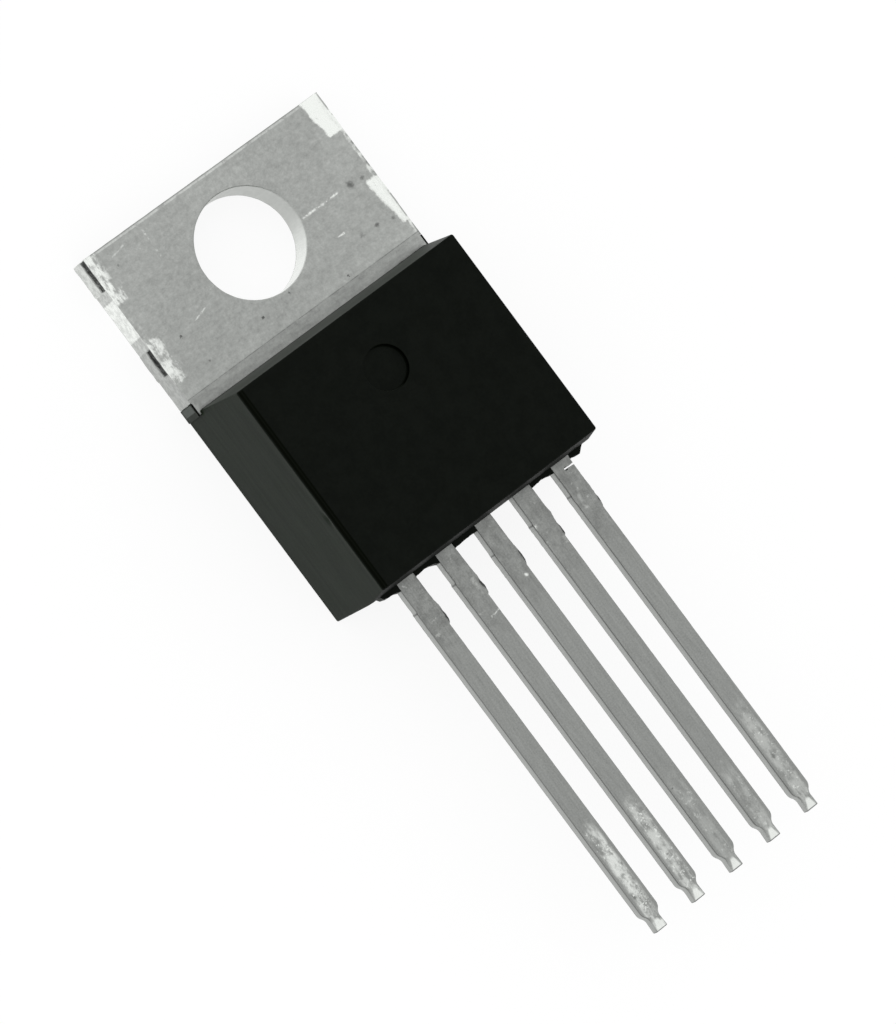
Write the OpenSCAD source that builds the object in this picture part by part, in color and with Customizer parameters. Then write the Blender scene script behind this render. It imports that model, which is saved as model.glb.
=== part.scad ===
// Five-lead power transistor in a flat tab package, lying on its back.
// Origin: centre of the screw hole, on the back plane.
// X runs across the tab, Y from the lead tips towards the tab's top edge, Z out of the front face.

/* [Tab] */
// Width of the metal tab
tab_w = 10.16; // [9.9:0.02:10.4]
// Thickness of the tab and of the pad behind the chip
tab_t = 1.27; // [1.15:0.01:1.4]
// Length of the tab above the moulding
tab_len = 6.25; // [5.9:0.05:6.6]
// Diameter of the screw hole
hole_d = 3.84; // [3.4:0.02:4]
// Distance from the tab's top edge to the centre of the screw hole
hole_from_top = 2.78; // [2.5:0.02:3]
// Length along the tab's edge of the upper sheared tie bar
upper_tie_len = 1.27; // [0.8:0.01:1.5]
// Length along the tab's edge of the lower sheared tie bar
lower_tie_len = 1.05; // [0.8:0.01:1.4]
// Distance from the tab's top edge to the lower sheared tie bar
lower_tie_from_top = 3.65; // [3:0.05:4]
// Thickness of the tie bars
tie_t = 0.86; // [0.6:0.02:1]
// How far the sheared tie bars stand out of the tab's edge
tie_proud = 0.03; // [0.02:0.01:0.08]

/* [Moulding] */
// Width of the moulding at the back plane
mould_w = 10.12; // [9.9:0.02:10.2]
// Length of the moulding, from the tab to the level of the leads
mould_len = 8.43; // [8.2:0.01:9]
// Height of the front face above the back plane
mould_h = 4.5; // [4.3:0.05:4.8]
// Draft of the long sides, in degrees
side_draft = 4.7; // [2:0.1:7]
// Draft of the face above the tab, in degrees
top_draft = 5; // [2:0.5:8]
// Draft of the lead end in front of the leads, in degrees
front_draft = 7; // [2:0.5:10]
// Draft of the lead end behind the leads, in degrees
back_draft = 2; // [1:0.5:5]
// Chamfer round the front face
edge_break = 0.05; // [0.03:0.01:0.2]
// Diameter of the ejector pin's mark on the front face
pin_mark_d = 1.57; // [1.2:0.01:2]
// Depth of the ejector pin's mark
pin_mark_depth = 0.15; // [0.05:0.01:0.25]
// Distance from the tab to the centre of the ejector pin's mark
pin_mark_from_tab = 2.52; // [2:0.01:4]
// Thickness of the resin skin on the tab's edges
skin_t = 0.06; // [0.04:0.01:0.1]
// How far the resin skin climbs the tab's edges
skin_len = 0.36; // [0.1:0.02:0.6]
// How far the resin hangs below the moulding, halfway between two leads
web_len = 0.17; // [0.1:0.01:0.25]
// How far the resin hangs down beside each lead
web_leg = 0.26; // [0.2:0.01:0.4]
// Reach to either side of the resin beside the outer leads
web_reach = 0.66; // [0.4:0.02:0.8]

/* [Leads] */
// Distance between neighbouring leads
lead_pitch = 1.7; // [1.6:0.01:1.8]
// Width of a lead
lead_w = 0.7; // [0.6:0.01:0.8]
// Thickness of a lead
lead_t = 0.49; // [0.4:0.01:0.6]
// Height of a lead's rear face above the back plane
lead_z = 2.68; // [2.4:0.02:2.9]
// Length of a lead below the moulding
lead_len = 14.26; // [13:0.02:14.6]
// Width of a lead between the moulding and its cut dam bar
root_w = 0.74; // [0.7:0.01:0.9]
// Distance from the moulding to the cut dam bar
dam_from_mould = 1.1; // [0.8:0.05:1.4]
// Length along the lead of the cut dam bar
dam_len = 0.9; // [0.5:0.05:1.2]
// How far the cut dam bar stands out on a lead's left edge
dam_left = 0.03; // [0.01:0.01:0.05]
// How far the cut dam bar stands out on a lead's right edge
dam_right = 0.06; // [0.03:0.01:0.12]
// Width of the narrow tip
tip_w = 0.42; // [0.3:0.01:0.5]
// Length of the narrow tip
tip_len = 0.44; // [0.2:0.01:0.8]
// Length over which a lead narrows to its tip
shoulder_len = 0.4; // [0.2:0.01:0.6]
// Thickness taken off the front of the tip at its end
tip_bevel = 0.18; // [0.05:0.01:0.25]
// How far the nick runs into the last lead's right edge, to the middle of its round end
nick_w = 0.29; // [0.1:0.01:0.35]
// Height of the nick
nick_h = 0.06; // [0.03:0.01:0.1]
// Diameter of the nick's round end
nick_end_d = 0.13; // [0.1:0.01:0.2]
// Distance from the moulding to the middle of the nick
nick_from_mould = 0.33; // [0.2:0.01:0.6]

/* [Metal inside] */
// Width of the pad behind the chip
pad_w = 8.6; // [8:0.05:9]
// Distance from the tab's junction to the pad's lower end
pad_len = 6.35; // [6:0.05:6.5]
// Width of the waist between the tab and the pad
waist_w = 7.6; // [6.5:0.05:7.9]
// Length of the waist
waist_len = 0.8; // [0.5:0.05:1]
// How far the tab's shoulders reach into the moulding
shoulder_in = 0.13; // [0.05:0.01:0.2]
// Overhang of the ledge that locks the pad's edges in the resin
ledge_w = 0.3; // [0.15:0.05:0.45]
// Height of the ledge above the back plane
ledge_z = 0.5; // [0.3:0.05:0.7]
// Width of the resin groove across the waist
groove_w = 0.4; // [0.2:0.05:0.5]
// Depth of the resin groove
groove_depth = 0.15; // [0.05:0.01:0.3]
// Radius of the centre lead's bends, at the middle of the strip
bend_r = 0.5; // [0.4:0.05:0.6]
// Slope of the centre lead between its bends, in degrees
bend_angle = 60; // [50:1:70]
// Distance from the end of the moulding to the bonding posts
post_in = 0.65; // [0.5:0.05:0.8]
// Length of a bonding post
post_len = 0.95; // [0.7:0.05:1.1]
// Gap between neighbouring bonding posts
post_gap = 0.45; // [0.35:0.05:0.6]
// Resin between the outer posts and the sides of the moulding
resin_wall = 0.4; // [0.3:0.05:0.6]
// Radius of the resin locks in the edges of each lead, inside the moulding
lock_r = 0.12; // [0.08:0.01:0.14]

/* [Chip and wires] */
// Width of the chip
die_w = 4.2; // [3:0.1:4.8]
// Length of the chip
die_len = 4.6; // [3:0.1:4.8]
// Thickness of the chip
die_t = 0.3; // [0.2:0.01:0.4]
// Distance from the pad's lower end to the chip
die_from_end = 0.4; // [0.3:0.05:0.6]
// Thickness of the solder under the chip
solder_t = 0.05; // [0.03:0.01:0.1]
// Margin of solder round the chip
solder_margin = 0.12; // [0.05:0.01:0.2]
// Diameter of the signal wires
signal_wire_d = 0.15; // [0.1:0.01:0.2]
// Diameter of the power wires
power_wire_d = 0.38; // [0.3:0.01:0.5]
// Distance between the power wires
power_wire_pitch = 0.75; // [0.7:0.01:0.85]
// Distance from the chip's lower edge to the signal wires' feet
signal_foot_in = 0.5; // [0.3:0.05:0.8]
// Distance from the chip's lower edge to the power wires' feet
power_foot_in = 2; // [1.8:0.05:2.3]
// Length of a wire's flattened foot, in wire diameters
foot_len = 1.8; // [1.6:0.1:2.2]
// Width of a wire's flattened foot, in wire diameters
foot_w = 1.2; // [1.1:0.05:1.4]
// Thickness of a wire's flattened foot, in wire diameters
foot_t = 0.4; // [0.3:0.05:0.5]
// Half of the angle that a wire's loop turns through
loop_half_angle = 50; // [40:1:60]

/* [Hidden] */
$fn = 64;
ARC_STEPS = 6;
OVER = 1;

// Levels along Y
top_y = hole_from_top;
joint_y = top_y - tab_len;
mould_end_y = joint_y - mould_len;
tip_y = mould_end_y - lead_len;
pad_end_y = joint_y - pad_len;
post_end_y = mould_end_y + post_in;
die_y = pad_end_y + die_from_end;

// Levels along Z
lead_top_z = lead_z + lead_t;
die_z = tab_t + solder_t;
die_top_z = die_z + die_t;

// How far the tab's shoulder overhangs the moulding, which the resin skin's foot spans
skin_foot = max(0, tab_w / 2 - skin_t - mould_w / 2);

// Lead positions, counted from the centre lead
GATE = -2;
SENSE = -1;
DRAIN = 0;
KELVIN = 1;
SOURCE = 2;

// Half width of the moulding at a height above the back plane
function mould_half_w(z) = mould_w / 2 - z * tan(side_draft);

// Points on an arc, from one angle to another
function arc(centre, r, from, to) = [
    for (i = [0 : ARC_STEPS])
        let (a = from + (to - from) * i / ARC_STEPS)
            centre + r * [cos(a), sin(a)]
];

// Extrudes an outline drawn in Y and Z along X, centred on X = 0
module across(w) {
    rotate([90, 0, 90])
        translate([0, 0, -w / 2])
            linear_extrude(w)
                children();
}

// Extrudes an outline drawn in X and Y between two heights
module upright(z0, z1) {
    translate([0, 0, z0])
        linear_extrude(z1 - z0)
            children();
}

// Rectangle from its left, lower, right and upper sides
module patch(x0, y0, x1, y1) {
    translate([x0, y0])
        square([x1 - x0, y1 - y0]);
}

// ---- Moulding ----

// Side view of the moulding: drafted top, front and lead end, with both front edges chamfered
module mould_side_view() {
    chamfer_z = mould_h - edge_break;
    top_front_y = joint_y - (chamfer_z - tab_t) * tan(top_draft);
    end_front_y = mould_end_y + (chamfer_z - lead_top_z) * tan(front_draft);
    end_back_y = mould_end_y + lead_z * tan(back_draft);
    polygon([
        [joint_y, 0],
        [joint_y, tab_t],
        [top_front_y, chamfer_z],
        [top_front_y - edge_break, mould_h],
        [end_front_y + edge_break, mould_h],
        [end_front_y, chamfer_z],
        [mould_end_y, lead_top_z],
        [mould_end_y, lead_z],
        [end_back_y, 0]
    ]);
}

// End view of the moulding, drawn in X and Z
module mould_end_view() {
    chamfer_z = mould_h - edge_break;
    back = mould_half_w(0);
    front = mould_half_w(chamfer_z);
    polygon([
        [-back, 0],
        [back, 0],
        [front, chamfer_z],
        [front - edge_break, mould_h],
        [edge_break - front, mould_h],
        [-front, chamfer_z]
    ]);
}

module mould_block() {
    intersection() {
        across(mould_w)
            mould_side_view();
        translate([0, joint_y, 0])
            rotate([90, 0, 0])
                linear_extrude(mould_len)
                    mould_end_view();
    }
}

// Thin resin that runs up the tab's edges
module edge_skin() {
    upright(0, tab_t)
        patch(-tab_w / 2, joint_y - shoulder_in - skin_foot, tab_w / 2, joint_y + skin_len);
}

// Resin left between two leads, with its lower edge drawn up into an arch
module web(left_lead) {
    x0 = left_lead * lead_pitch;
    half_span = (lead_pitch - lead_w) / 2;
    rise = web_leg - web_len;
    arch_r = (half_span ^ 2 + rise ^ 2) / (2 * rise);
    upright(lead_z, lead_top_z)
        difference() {
            patch(x0, mould_end_y - web_leg, x0 + lead_pitch, mould_end_y);
            translate([x0 + lead_pitch / 2, mould_end_y - web_len - arch_r])
                circle(arch_r);
        }
}

// Resin beside an outer lead, cut back at a slant
module outer_web(side) {
    x0 = side * SOURCE * lead_pitch;
    x1 = x0 + side * (root_w / 2 + web_reach);
    slant = web_len;
    upright(lead_z, lead_top_z)
        polygon([
            [x0, mould_end_y],
            [x0, mould_end_y - web_len],
            [x1 - side * slant, mould_end_y - web_len],
            [x1, mould_end_y]
        ]);
}

module mould_body() {
    color([0.06, 0.065, 0.06])
        difference() {
            union() {
                mould_block();
                edge_skin();
                web(GATE);
                web(SENSE);
                web(KELVIN);
                outer_web(-1);
                outer_web(1);
            }
            translate([0, joint_y - pin_mark_from_tab, mould_h - pin_mark_depth])
                cylinder(d = pin_mark_d, h = pin_mark_depth + OVER);
            drain_shape();
            for (n = [GATE, SENSE, KELVIN, SOURCE])
                signal_lead_shape(n);
            die_solder_shape();
            die_shape();
            for (n = [GATE, SENSE, KELVIN])
                signal_wire_shape(n);
            for (side = [-1, 1])
                power_wire_shape(side);
        }
}

// ---- Tab, pad and centre lead, stamped from one strip ----

// Front view of the tab and pad, at the level of the front face
module tab_outline() {
    patch(-tab_w / 2, joint_y + skin_len, tab_w / 2, top_y);
    patch(skin_t - tab_w / 2, joint_y - shoulder_in, tab_w / 2 - skin_t, joint_y + skin_len);
    patch(-waist_w / 2, joint_y - waist_len, waist_w / 2, joint_y);
    patch(-pad_w / 2, pad_end_y, pad_w / 2, joint_y - waist_len);
}

// Room for the resin below the ledge along the pad's edges
module ledge_cut() {
    upright(-OVER, ledge_z)
        difference() {
            patch(-pad_w / 2 - OVER, pad_end_y - OVER, pad_w / 2 + OVER, joint_y - waist_len);
            patch(ledge_w - pad_w / 2, pad_end_y + ledge_w, pad_w / 2 - ledge_w, joint_y);
        }
}

module groove_cut() {
    groove_y = joint_y - shoulder_in - groove_w / 2;
    across(tab_w)
        polygon([
            [groove_y - groove_w / 2, tab_t],
            [groove_y, tab_t - groove_depth],
            [groove_y + groove_w / 2, tab_t]
        ]);
}

// Remains of the bars that joined neighbouring tabs, sheared off on both edges
module tie_stub(from_top, len) {
    half_w = tab_w / 2 + tie_proud;
    upright(0, tie_t)
        patch(-half_w, top_y - from_top - len, half_w, top_y - from_top);
}

// Side view of the centre lead's two bends, from the level of the leads down to the pad
module joggle_side_view() {
    upper_z = lead_z + lead_t / 2;
    lower_z = tab_t - lead_t / 2;
    slope_len = (upper_z - lower_z - 2 * bend_r * (1 - cos(bend_angle))) / sin(bend_angle);
    run = 2 * bend_r * sin(bend_angle) + slope_len * cos(bend_angle);
    y1 = (mould_end_y + pad_end_y - run) / 2;
    upper = [y1, upper_z - bend_r];
    lower = [y1 + run, lower_z + bend_r];
    outer_r = bend_r + lead_t / 2;
    inner_r = bend_r - lead_t / 2;
    polygon(concat(
        [[mould_end_y, lead_z], [mould_end_y, lead_top_z]],
        arc(upper, outer_r, 90, 90 - bend_angle),
        arc(lower, inner_r, 270 - bend_angle, 270),
        [[pad_end_y + ledge_w, tab_t], [pad_end_y + ledge_w, tab_t - lead_t]],
        arc(lower, outer_r, 270, 270 - bend_angle),
        arc(upper, inner_r, 90 - bend_angle, 90)
    ));
}

module drain_shape() {
    difference() {
        union() {
            upright(0, tab_t)
                tab_outline();
            tie_stub(0, upper_tie_len);
            tie_stub(lower_tie_from_top, lower_tie_len);
        }
        translate([0, 0, -OVER])
            cylinder(d = hole_d, h = tab_t + 2 * OVER);
        ledge_cut();
        groove_cut();
    }
    across(root_w)
        joggle_side_view();
    outer_lead(DRAIN);
}

module drain_frame() {
    color([0.63, 0.65, 0.63])
        drain_shape();
}

// ---- Leads ----

// Front view of a lead below the moulding, centred on X = 0
module lead_outline() {
    dam_y = mould_end_y - dam_from_mould;
    shoulder_y = tip_y + tip_len + shoulder_len;
    patch(-root_w / 2, dam_y - dam_len, root_w / 2, mould_end_y);
    patch(-root_w / 2 - dam_left, dam_y - dam_len, root_w / 2 + dam_right, dam_y);
    patch(-lead_w / 2, shoulder_y, lead_w / 2, dam_y);
    tip_outline(shoulder_y);
}

// The last of a lead: two arcs on each edge lead from the full width to the tip
module tip_outline(shoulder_y) {
    step = (lead_w - tip_w) / 2;
    turn = 2 * atan(step / shoulder_len);
    r = shoulder_len / (2 * sin(turn));
    convex = [lead_w / 2 - r, shoulder_y];
    concave = [tip_w / 2 + r, shoulder_y - shoulder_len];
    right = concat(
        arc(convex, r, 0, -turn),
        arc(concave, r, 180 - turn, 180),
        [[tip_w / 2, tip_y]]
    );
    left = [for (i = [len(right) - 1 : -1 : 0]) [-right[i].x, right[i].y]];
    polygon(concat(right, left));
}

// Wedge taken off the front of a tip
module tip_bevel_cut() {
    across(lead_pitch)
        polygon([
            [tip_y, lead_top_z - tip_bevel],
            [tip_y, lead_top_z],
            [tip_y + tip_len + shoulder_len / 2, lead_top_z]
        ]);
}

module outer_lead(n) {
    translate([n * lead_pitch, 0, 0])
        difference() {
            upright(lead_z, lead_top_z)
                lead_outline();
            tip_bevel_cut();
            if (n == SOURCE)
                nick_cut();
        }
}

// Small break in the right edge of a lead: a thin slot with a round end
module nick_cut() {
    nick_x = root_w / 2 - nick_w;
    nick_y = mould_end_y - nick_from_mould;
    upright(lead_z - OVER, lead_top_z + OVER) {
        patch(nick_x, nick_y - nick_h / 2, root_w / 2 + OVER, nick_y + nick_h / 2);
        translate([nick_x, nick_y])
            circle(d = nick_end_d);
    }
}

// Half width of a bonding post on the side away from the centre lead
function post_outer(n) = abs(n) == SOURCE
    ? mould_half_w(lead_top_z) - resin_wall
    : abs(n) * lead_pitch + (lead_pitch - post_gap) / 2;

// Half width of a bonding post on the side of the centre lead
function post_inner(n) = abs(n) * lead_pitch - (lead_pitch - post_gap) / 2;

// Middle of a bonding post
function post_centre(n) = [
    sign(n) * (post_outer(n) + post_inner(n)) / 2,
    post_end_y + post_len / 2
];

// A lead with its bonding post, which the resin grips by two round notches
module signal_lead_shape(n) {
    x = n * lead_pitch;
    lock_y = mould_end_y + post_in / 2;
    outer_lead(n);
    upright(lead_z, lead_top_z)
        difference() {
            union() {
                patch(x - root_w / 2, mould_end_y, x + root_w / 2, post_end_y);
                patch(
                    min(sign(n) * post_inner(n), sign(n) * post_outer(n)), post_end_y,
                    max(sign(n) * post_inner(n), sign(n) * post_outer(n)), post_end_y + post_len
                );
            }
            for (side = [-1, 1])
                translate([x + side * root_w / 2, lock_y])
                    circle(lock_r);
        }
}

module gate_lead() {
    color([0.56, 0.57, 0.56])
        signal_lead_shape(GATE);
}

module sense_lead() {
    color([0.56, 0.57, 0.56])
        signal_lead_shape(SENSE);
}

module kelvin_lead() {
    color([0.56, 0.57, 0.56])
        signal_lead_shape(KELVIN);
}

module source_lead() {
    color([0.56, 0.57, 0.56])
        signal_lead_shape(SOURCE);
}

// ---- Chip and solder ----

module die_shape() {
    upright(die_z, die_top_z)
        patch(-die_w / 2, die_y, die_w / 2, die_y + die_len);
}

module die_solder_shape() {
    half_w = die_w / 2 + solder_margin;
    upright(tab_t, die_z)
        patch(-half_w, die_y - solder_margin, half_w, die_y + die_len + solder_margin);
}

module die() {
    color([0.35, 0.36, 0.42])
        die_shape();
}

module die_solder() {
    color([0.7, 0.7, 0.72])
        die_solder_shape();
}

// ---- Bond wires ----

// One wire from a point on the chip to a point on a post, bent as a single arc
module wire_arc(from, to, d) {
    reach = norm([to.x - from.x, to.y - from.y]);
    rise = to.z - from.z;
    chord = norm([reach, rise]);
    slope = atan2(rise, reach);
    r = chord / (2 * sin(loop_half_angle));
    drop = r * cos(loop_half_angle);
    translate(from)
        rotate([0, 0, atan2(to.y - from.y, to.x - from.x)])
            translate([reach / 2 + drop * sin(slope), 0, rise / 2 - drop * cos(slope)])
                rotate([90, 0, 0])
                    rotate([0, 0, 90 + slope - loop_half_angle])
                        rotate_extrude(angle = 2 * loop_half_angle)
                            translate([r, 0])
                                circle(d = d);
}

// Wire pressed flat against its seat, along the direction of the wire
module wire_foot(at, heading, d) {
    translate(at)
        rotate([0, 0, heading])
            translate([-foot_len * d / 2, -foot_w * d / 2, 0])
                cube([foot_len * d, foot_w * d, foot_t * d]);
}

// A wire with a foot at either end
module bonded_wire(from, to, d) {
    heading = atan2(to.y - from.y, to.x - from.x);
    wire_arc(from, to, d);
    wire_foot(from, heading, d);
    wire_foot(to, heading, d);
}

// Where a signal wire meets the chip, in line with its lead's place in the row
function signal_foot(n) = [
    n * (die_w / 2 - signal_foot_in) / SOURCE,
    die_y + signal_foot_in,
    die_top_z
];

function on_post(n, shift) = [post_centre(n).x + shift, post_centre(n).y, lead_top_z];

module signal_wire_shape(n) {
    difference() {
        bonded_wire(signal_foot(n), on_post(n, 0), signal_wire_d);
        die_shape();
        signal_lead_shape(n);
    }
}

module power_wire_shape(side) {
    shift = side * power_wire_pitch / 2;
    foot = [die_w / 4 + shift, die_y + power_foot_in + shift, die_top_z];
    difference() {
        bonded_wire(foot, on_post(SOURCE, shift), power_wire_d);
        die_shape();
        signal_lead_shape(SOURCE);
    }
}

module gate_wire() {
    color([0.8, 0.81, 0.83])
        signal_wire_shape(GATE);
}

module sense_wire() {
    color([0.8, 0.81, 0.83])
        signal_wire_shape(SENSE);
}

module kelvin_wire() {
    color([0.8, 0.81, 0.83])
        signal_wire_shape(KELVIN);
}

module source_wire_1() {
    color([0.8, 0.81, 0.83])
        power_wire_shape(-1);
}

module source_wire_2() {
    color([0.8, 0.81, 0.83])
        power_wire_shape(1);
}

mould_body();
drain_frame();
gate_lead();
sense_lead();
kelvin_lead();
source_lead();
die();
die_solder();
gate_wire();
sense_wire();
kelvin_wire();
source_wire_1();
source_wire_2();
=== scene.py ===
"""Looks of a five-lead power transistor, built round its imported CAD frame.

Sizes are in millimetres in the row frame: X across the tab, Y towards the tab's top edge, Z out of the front face.
"""

import math
from functools import partial

import bmesh
import bpy
import numpy as np
from mathutils import Matrix, Vector
from mathutils.geometry import delaunay_2d_cdt


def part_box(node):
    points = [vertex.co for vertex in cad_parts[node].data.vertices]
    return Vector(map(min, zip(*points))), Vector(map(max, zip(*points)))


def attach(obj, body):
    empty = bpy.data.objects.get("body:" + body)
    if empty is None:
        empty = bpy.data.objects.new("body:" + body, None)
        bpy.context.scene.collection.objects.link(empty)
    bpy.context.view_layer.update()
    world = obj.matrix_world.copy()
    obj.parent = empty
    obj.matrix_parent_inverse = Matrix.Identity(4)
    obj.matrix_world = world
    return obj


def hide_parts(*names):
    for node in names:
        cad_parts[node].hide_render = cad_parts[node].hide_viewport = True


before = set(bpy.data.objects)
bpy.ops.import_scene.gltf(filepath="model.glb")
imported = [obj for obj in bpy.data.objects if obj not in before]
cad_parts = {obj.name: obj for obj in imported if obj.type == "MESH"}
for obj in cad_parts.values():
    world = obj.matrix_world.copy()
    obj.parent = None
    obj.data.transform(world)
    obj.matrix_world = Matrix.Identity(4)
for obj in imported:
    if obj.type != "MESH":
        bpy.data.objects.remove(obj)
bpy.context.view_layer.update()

MM = 0.001
# In metres: points closer than this are one
SAME_POINT = 1e-7
SHARP_EDGE = math.radians(32)


def box_mm(node):
    low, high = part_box(node)
    return np.array(low) / MM, np.array(high) / MM


# ---- Sizes: read from the frame where it has them, and otherwise the part's own driving sizes ----

frame_low, frame_high = box_mm("drain_frame")
_, mould_high = box_mm("mould_body")
gate_low, gate_high = box_mm("gate_lead")

TAB_W = 10.16
TAB_T = 1.27
TAB_LEN = 6.25
HOLE_D = 3.84
UPPER_TIE_LEN = 1.27
LOWER_TIE_FROM_TOP = 3.65
LOWER_TIE_LEN = 1.05
TIE_T = 0.86
TIE_PROUD = 0.03

MOULD_W = 10.12
MOULD_LEN = 8.43
SIDE_DRAFT = math.radians(4.7)
TOP_DRAFT = math.radians(5)
FRONT_DRAFT = math.radians(7)
BACK_DRAFT = math.radians(2)
EDGE_ROUND = 0.05
PIN_MARK_R = 1.57 / 2
PIN_MARK_DEPTH = 0.15
PIN_MARK_FROM_TAB = 2.52
SKIN_T = 0.06
SKIN_LEN = 0.36

PITCH = 1.7
LEAD_W = 0.7
ROOT_W = 0.74
TIP_W = 0.42
TIP_LEN = 0.44
SHOULDER_LEN = 0.4
TIP_BEVEL = 0.18
NICK_W = 0.29
NICK_H = 0.06
NICK_END_D = 0.13
NICK_FROM_MOULD = 0.33
NICK_STEPS = 28

PAD_W = 8.6
PAD_LEN = 6.35
WAIST_W = 7.6
WAIST_LEN = 0.8
SHOULDER_IN = 0.13
LEDGE_W = 0.3
LEDGE_Z = 0.5
GROOVE_W = 0.4
GROOVE_DEPTH = 0.15
BEND_R = 0.5
BEND_ANGLE = math.radians(60)
BEND_STEPS = 10
POST_IN = 0.65
POST_GAP = 0.45
LOCK_R = 0.12

TOP_Y = frame_high[1]
TIP_Y = frame_low[1]
JOINT_Y = TOP_Y - TAB_LEN
MOULD_END_Y = JOINT_Y - MOULD_LEN
PAD_END_Y = JOINT_Y - PAD_LEN
POST_END_Y = gate_high[1]
MOULD_H = mould_high[2]
LEAD_Z = gate_low[2]
LEAD_TOP_Z = gate_high[2]
LEAD_T = LEAD_TOP_Z - LEAD_Z
LEAD_LEN = MOULD_END_Y - TIP_Y
OUTER_POST_X = -gate_low[0]

GATE, SENSE, DRAIN, KELVIN, SOURCE = -2, -1, 0, 1, 2


# ---- Noise that is the same in every run ----

# What the seed gains from one row of 2D noise to the next
ROW_SEED = 7.31


def knot(cell, seed):
    """A number between -1 and 1 that depends on a cell and a seed."""
    v = np.sin(cell * 127.1 + seed * 311.7) * 43758.5453
    return 2 * (v - np.floor(v)) - 1


def cell_of(v):
    """The cell that a value lies in, and how far into it the value lies, eased at both ends."""
    v = np.asarray(v, float)
    cell = np.floor(v)
    t = v - cell
    return cell, t * t * (3 - 2 * t)


def noise_1d(x, seed):
    """Smooth noise between -1 and 1 along a line."""
    cell, t = cell_of(x)
    return knot(cell, seed) * (1 - t) + knot(cell + 1, seed) * t


def noise_2d(x, y, seed):
    """Smooth noise between -1 and 1 over a plane."""
    row, t = cell_of(y)
    return noise_1d(x, seed + row * ROW_SEED) * (1 - t) + noise_1d(x, seed + (row + 1) * ROW_SEED) * t


# ---- Mesh helpers ----

def place_object(name, data):
    obj = bpy.data.objects.new(name, data)
    bpy.context.scene.collection.objects.link(obj)
    return obj


def make_object(name, points, faces):
    """A mesh object from points in millimetres."""
    mesh = bpy.data.meshes.new(name)
    mesh.from_pydata((np.asarray(points) * MM).tolist(), [], faces)
    mesh.update()
    return place_object(name, mesh)


def tidy_mesh(obj):
    """Welds points that coincide and turns every face outwards."""
    bm = bmesh.new()
    bm.from_mesh(obj.data)
    bmesh.ops.remove_doubles(bm, verts=bm.verts, dist=SAME_POINT)
    bmesh.ops.dissolve_degenerate(bm, edges=bm.edges, dist=SAME_POINT)
    bmesh.ops.recalc_face_normals(bm, faces=bm.faces)
    bm.to_mesh(obj.data)
    bm.free()


def shade(obj):
    """Smooth shading that keeps sharp edges, with flats weighted over their rounds."""
    bm = bmesh.new()
    bm.from_mesh(obj.data)
    for face in bm.faces:
        face.smooth = True
    for edge in bm.edges:
        edge.smooth = len(edge.link_faces) == 2 and edge.calc_face_angle(0) < SHARP_EDGE
    bm.to_mesh(obj.data)
    bm.free()
    weighted = obj.modifiers.new("flats", "WEIGHTED_NORMAL")
    weighted.keep_sharp = True


def boolean(obj, other, operation):
    """Applies an exact boolean to obj, and removes the other object."""
    modifier = obj.modifiers.new("cut", "BOOLEAN")
    modifier.operation = operation
    modifier.solver = "EXACT"
    modifier.object = other
    depsgraph = bpy.context.evaluated_depsgraph_get()
    result = bpy.data.meshes.new_from_object(obj.evaluated_get(depsgraph))
    obj.modifiers.remove(modifier)
    obj.data = result
    bpy.data.objects.remove(other)


def at_height(outline, z):
    """An outline's points at one height."""
    return np.column_stack([outline, np.full(len(outline), z)])


def round_ring(centre, r, angles, z):
    """Points round a centre at one height."""
    return at_height(np.column_stack([centre[0] + r * np.cos(angles), centre[1] + r * np.sin(angles)]), z)


def quads(first, count, inward=False):
    """The faces between a ring of points and the next one, where first is the number of its first point."""
    faces = []
    for i in range(count):
        a, b = first + i, first + (i + 1) % count
        faces.append((b, a, a + count, b + count) if inward else (a, b, b + count, a + count))
    return faces


def stack(name, layers):
    """A solid through rings of equal length, with one face over each end ring."""
    count = len(layers[0])
    last = (len(layers) - 1) * count
    faces = [face for start in range(0, last, count) for face in quads(start, count)]
    faces += [tuple(range(count - 1, -1, -1)), tuple(range(last, last + count))]
    solid = make_object(name, np.vstack(layers), faces)
    tidy_mesh(solid)
    return solid


def slab(name, outline, z0, z1):
    """A flat solid with a given front outline between two heights."""
    return stack(name, [at_height(np.array(outline), z) for z in (z0, z1)])


def rolled(t, r):
    """How far a quarter round of radius r draws in: from 0 at t = 0 to r at t = 1."""
    return r * (1 - math.sqrt(max(0.0, 1 - t * t)))


def profile(table, at):
    """A value read between the pairs of a table."""
    return float(np.interp(at, *zip(*table)))


def arc(centre, r, start, steps):
    """Points along a quarter circle that starts at an angle in degrees."""
    angles = [math.radians(start + 90 * i / steps) for i in range(steps + 1)]
    return [(centre[0] + r * math.cos(a), centre[1] + r * math.sin(a)) for a in angles]


def round_corners(corners, arc_steps, side_steps):
    """A closed line through quarter circles and the sides between them.

    A corner is the circle's x, y and radius, and the angle in degrees at which it starts.
    """
    arcs = [arc((x, y), r, start, arc_steps) for x, y, r, start in corners]
    ring = []
    for k, points in enumerate(arcs):
        (x0, y0), (x1, y1) = points[-1], arcs[(k + 1) % 4][0]
        count = side_steps[k]
        ring += points + [(x0 + (x1 - x0) * i / count, y0 + (y1 - y0) * i / count) for i in range(1, count)]
    return np.array(ring)


def turn(points):
    """Twice the area that a closed line of points runs round: positive where it turns left."""
    x, y = np.array(points).T
    return float(np.sum(x * np.roll(y, -1) - np.roll(x, -1) * y))


# Stagger of a cap's rows in steps, and the room between its points and its rims, in steps
CAP_STAGGER = 0.25
CAP_MARGIN = 0.4


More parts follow.
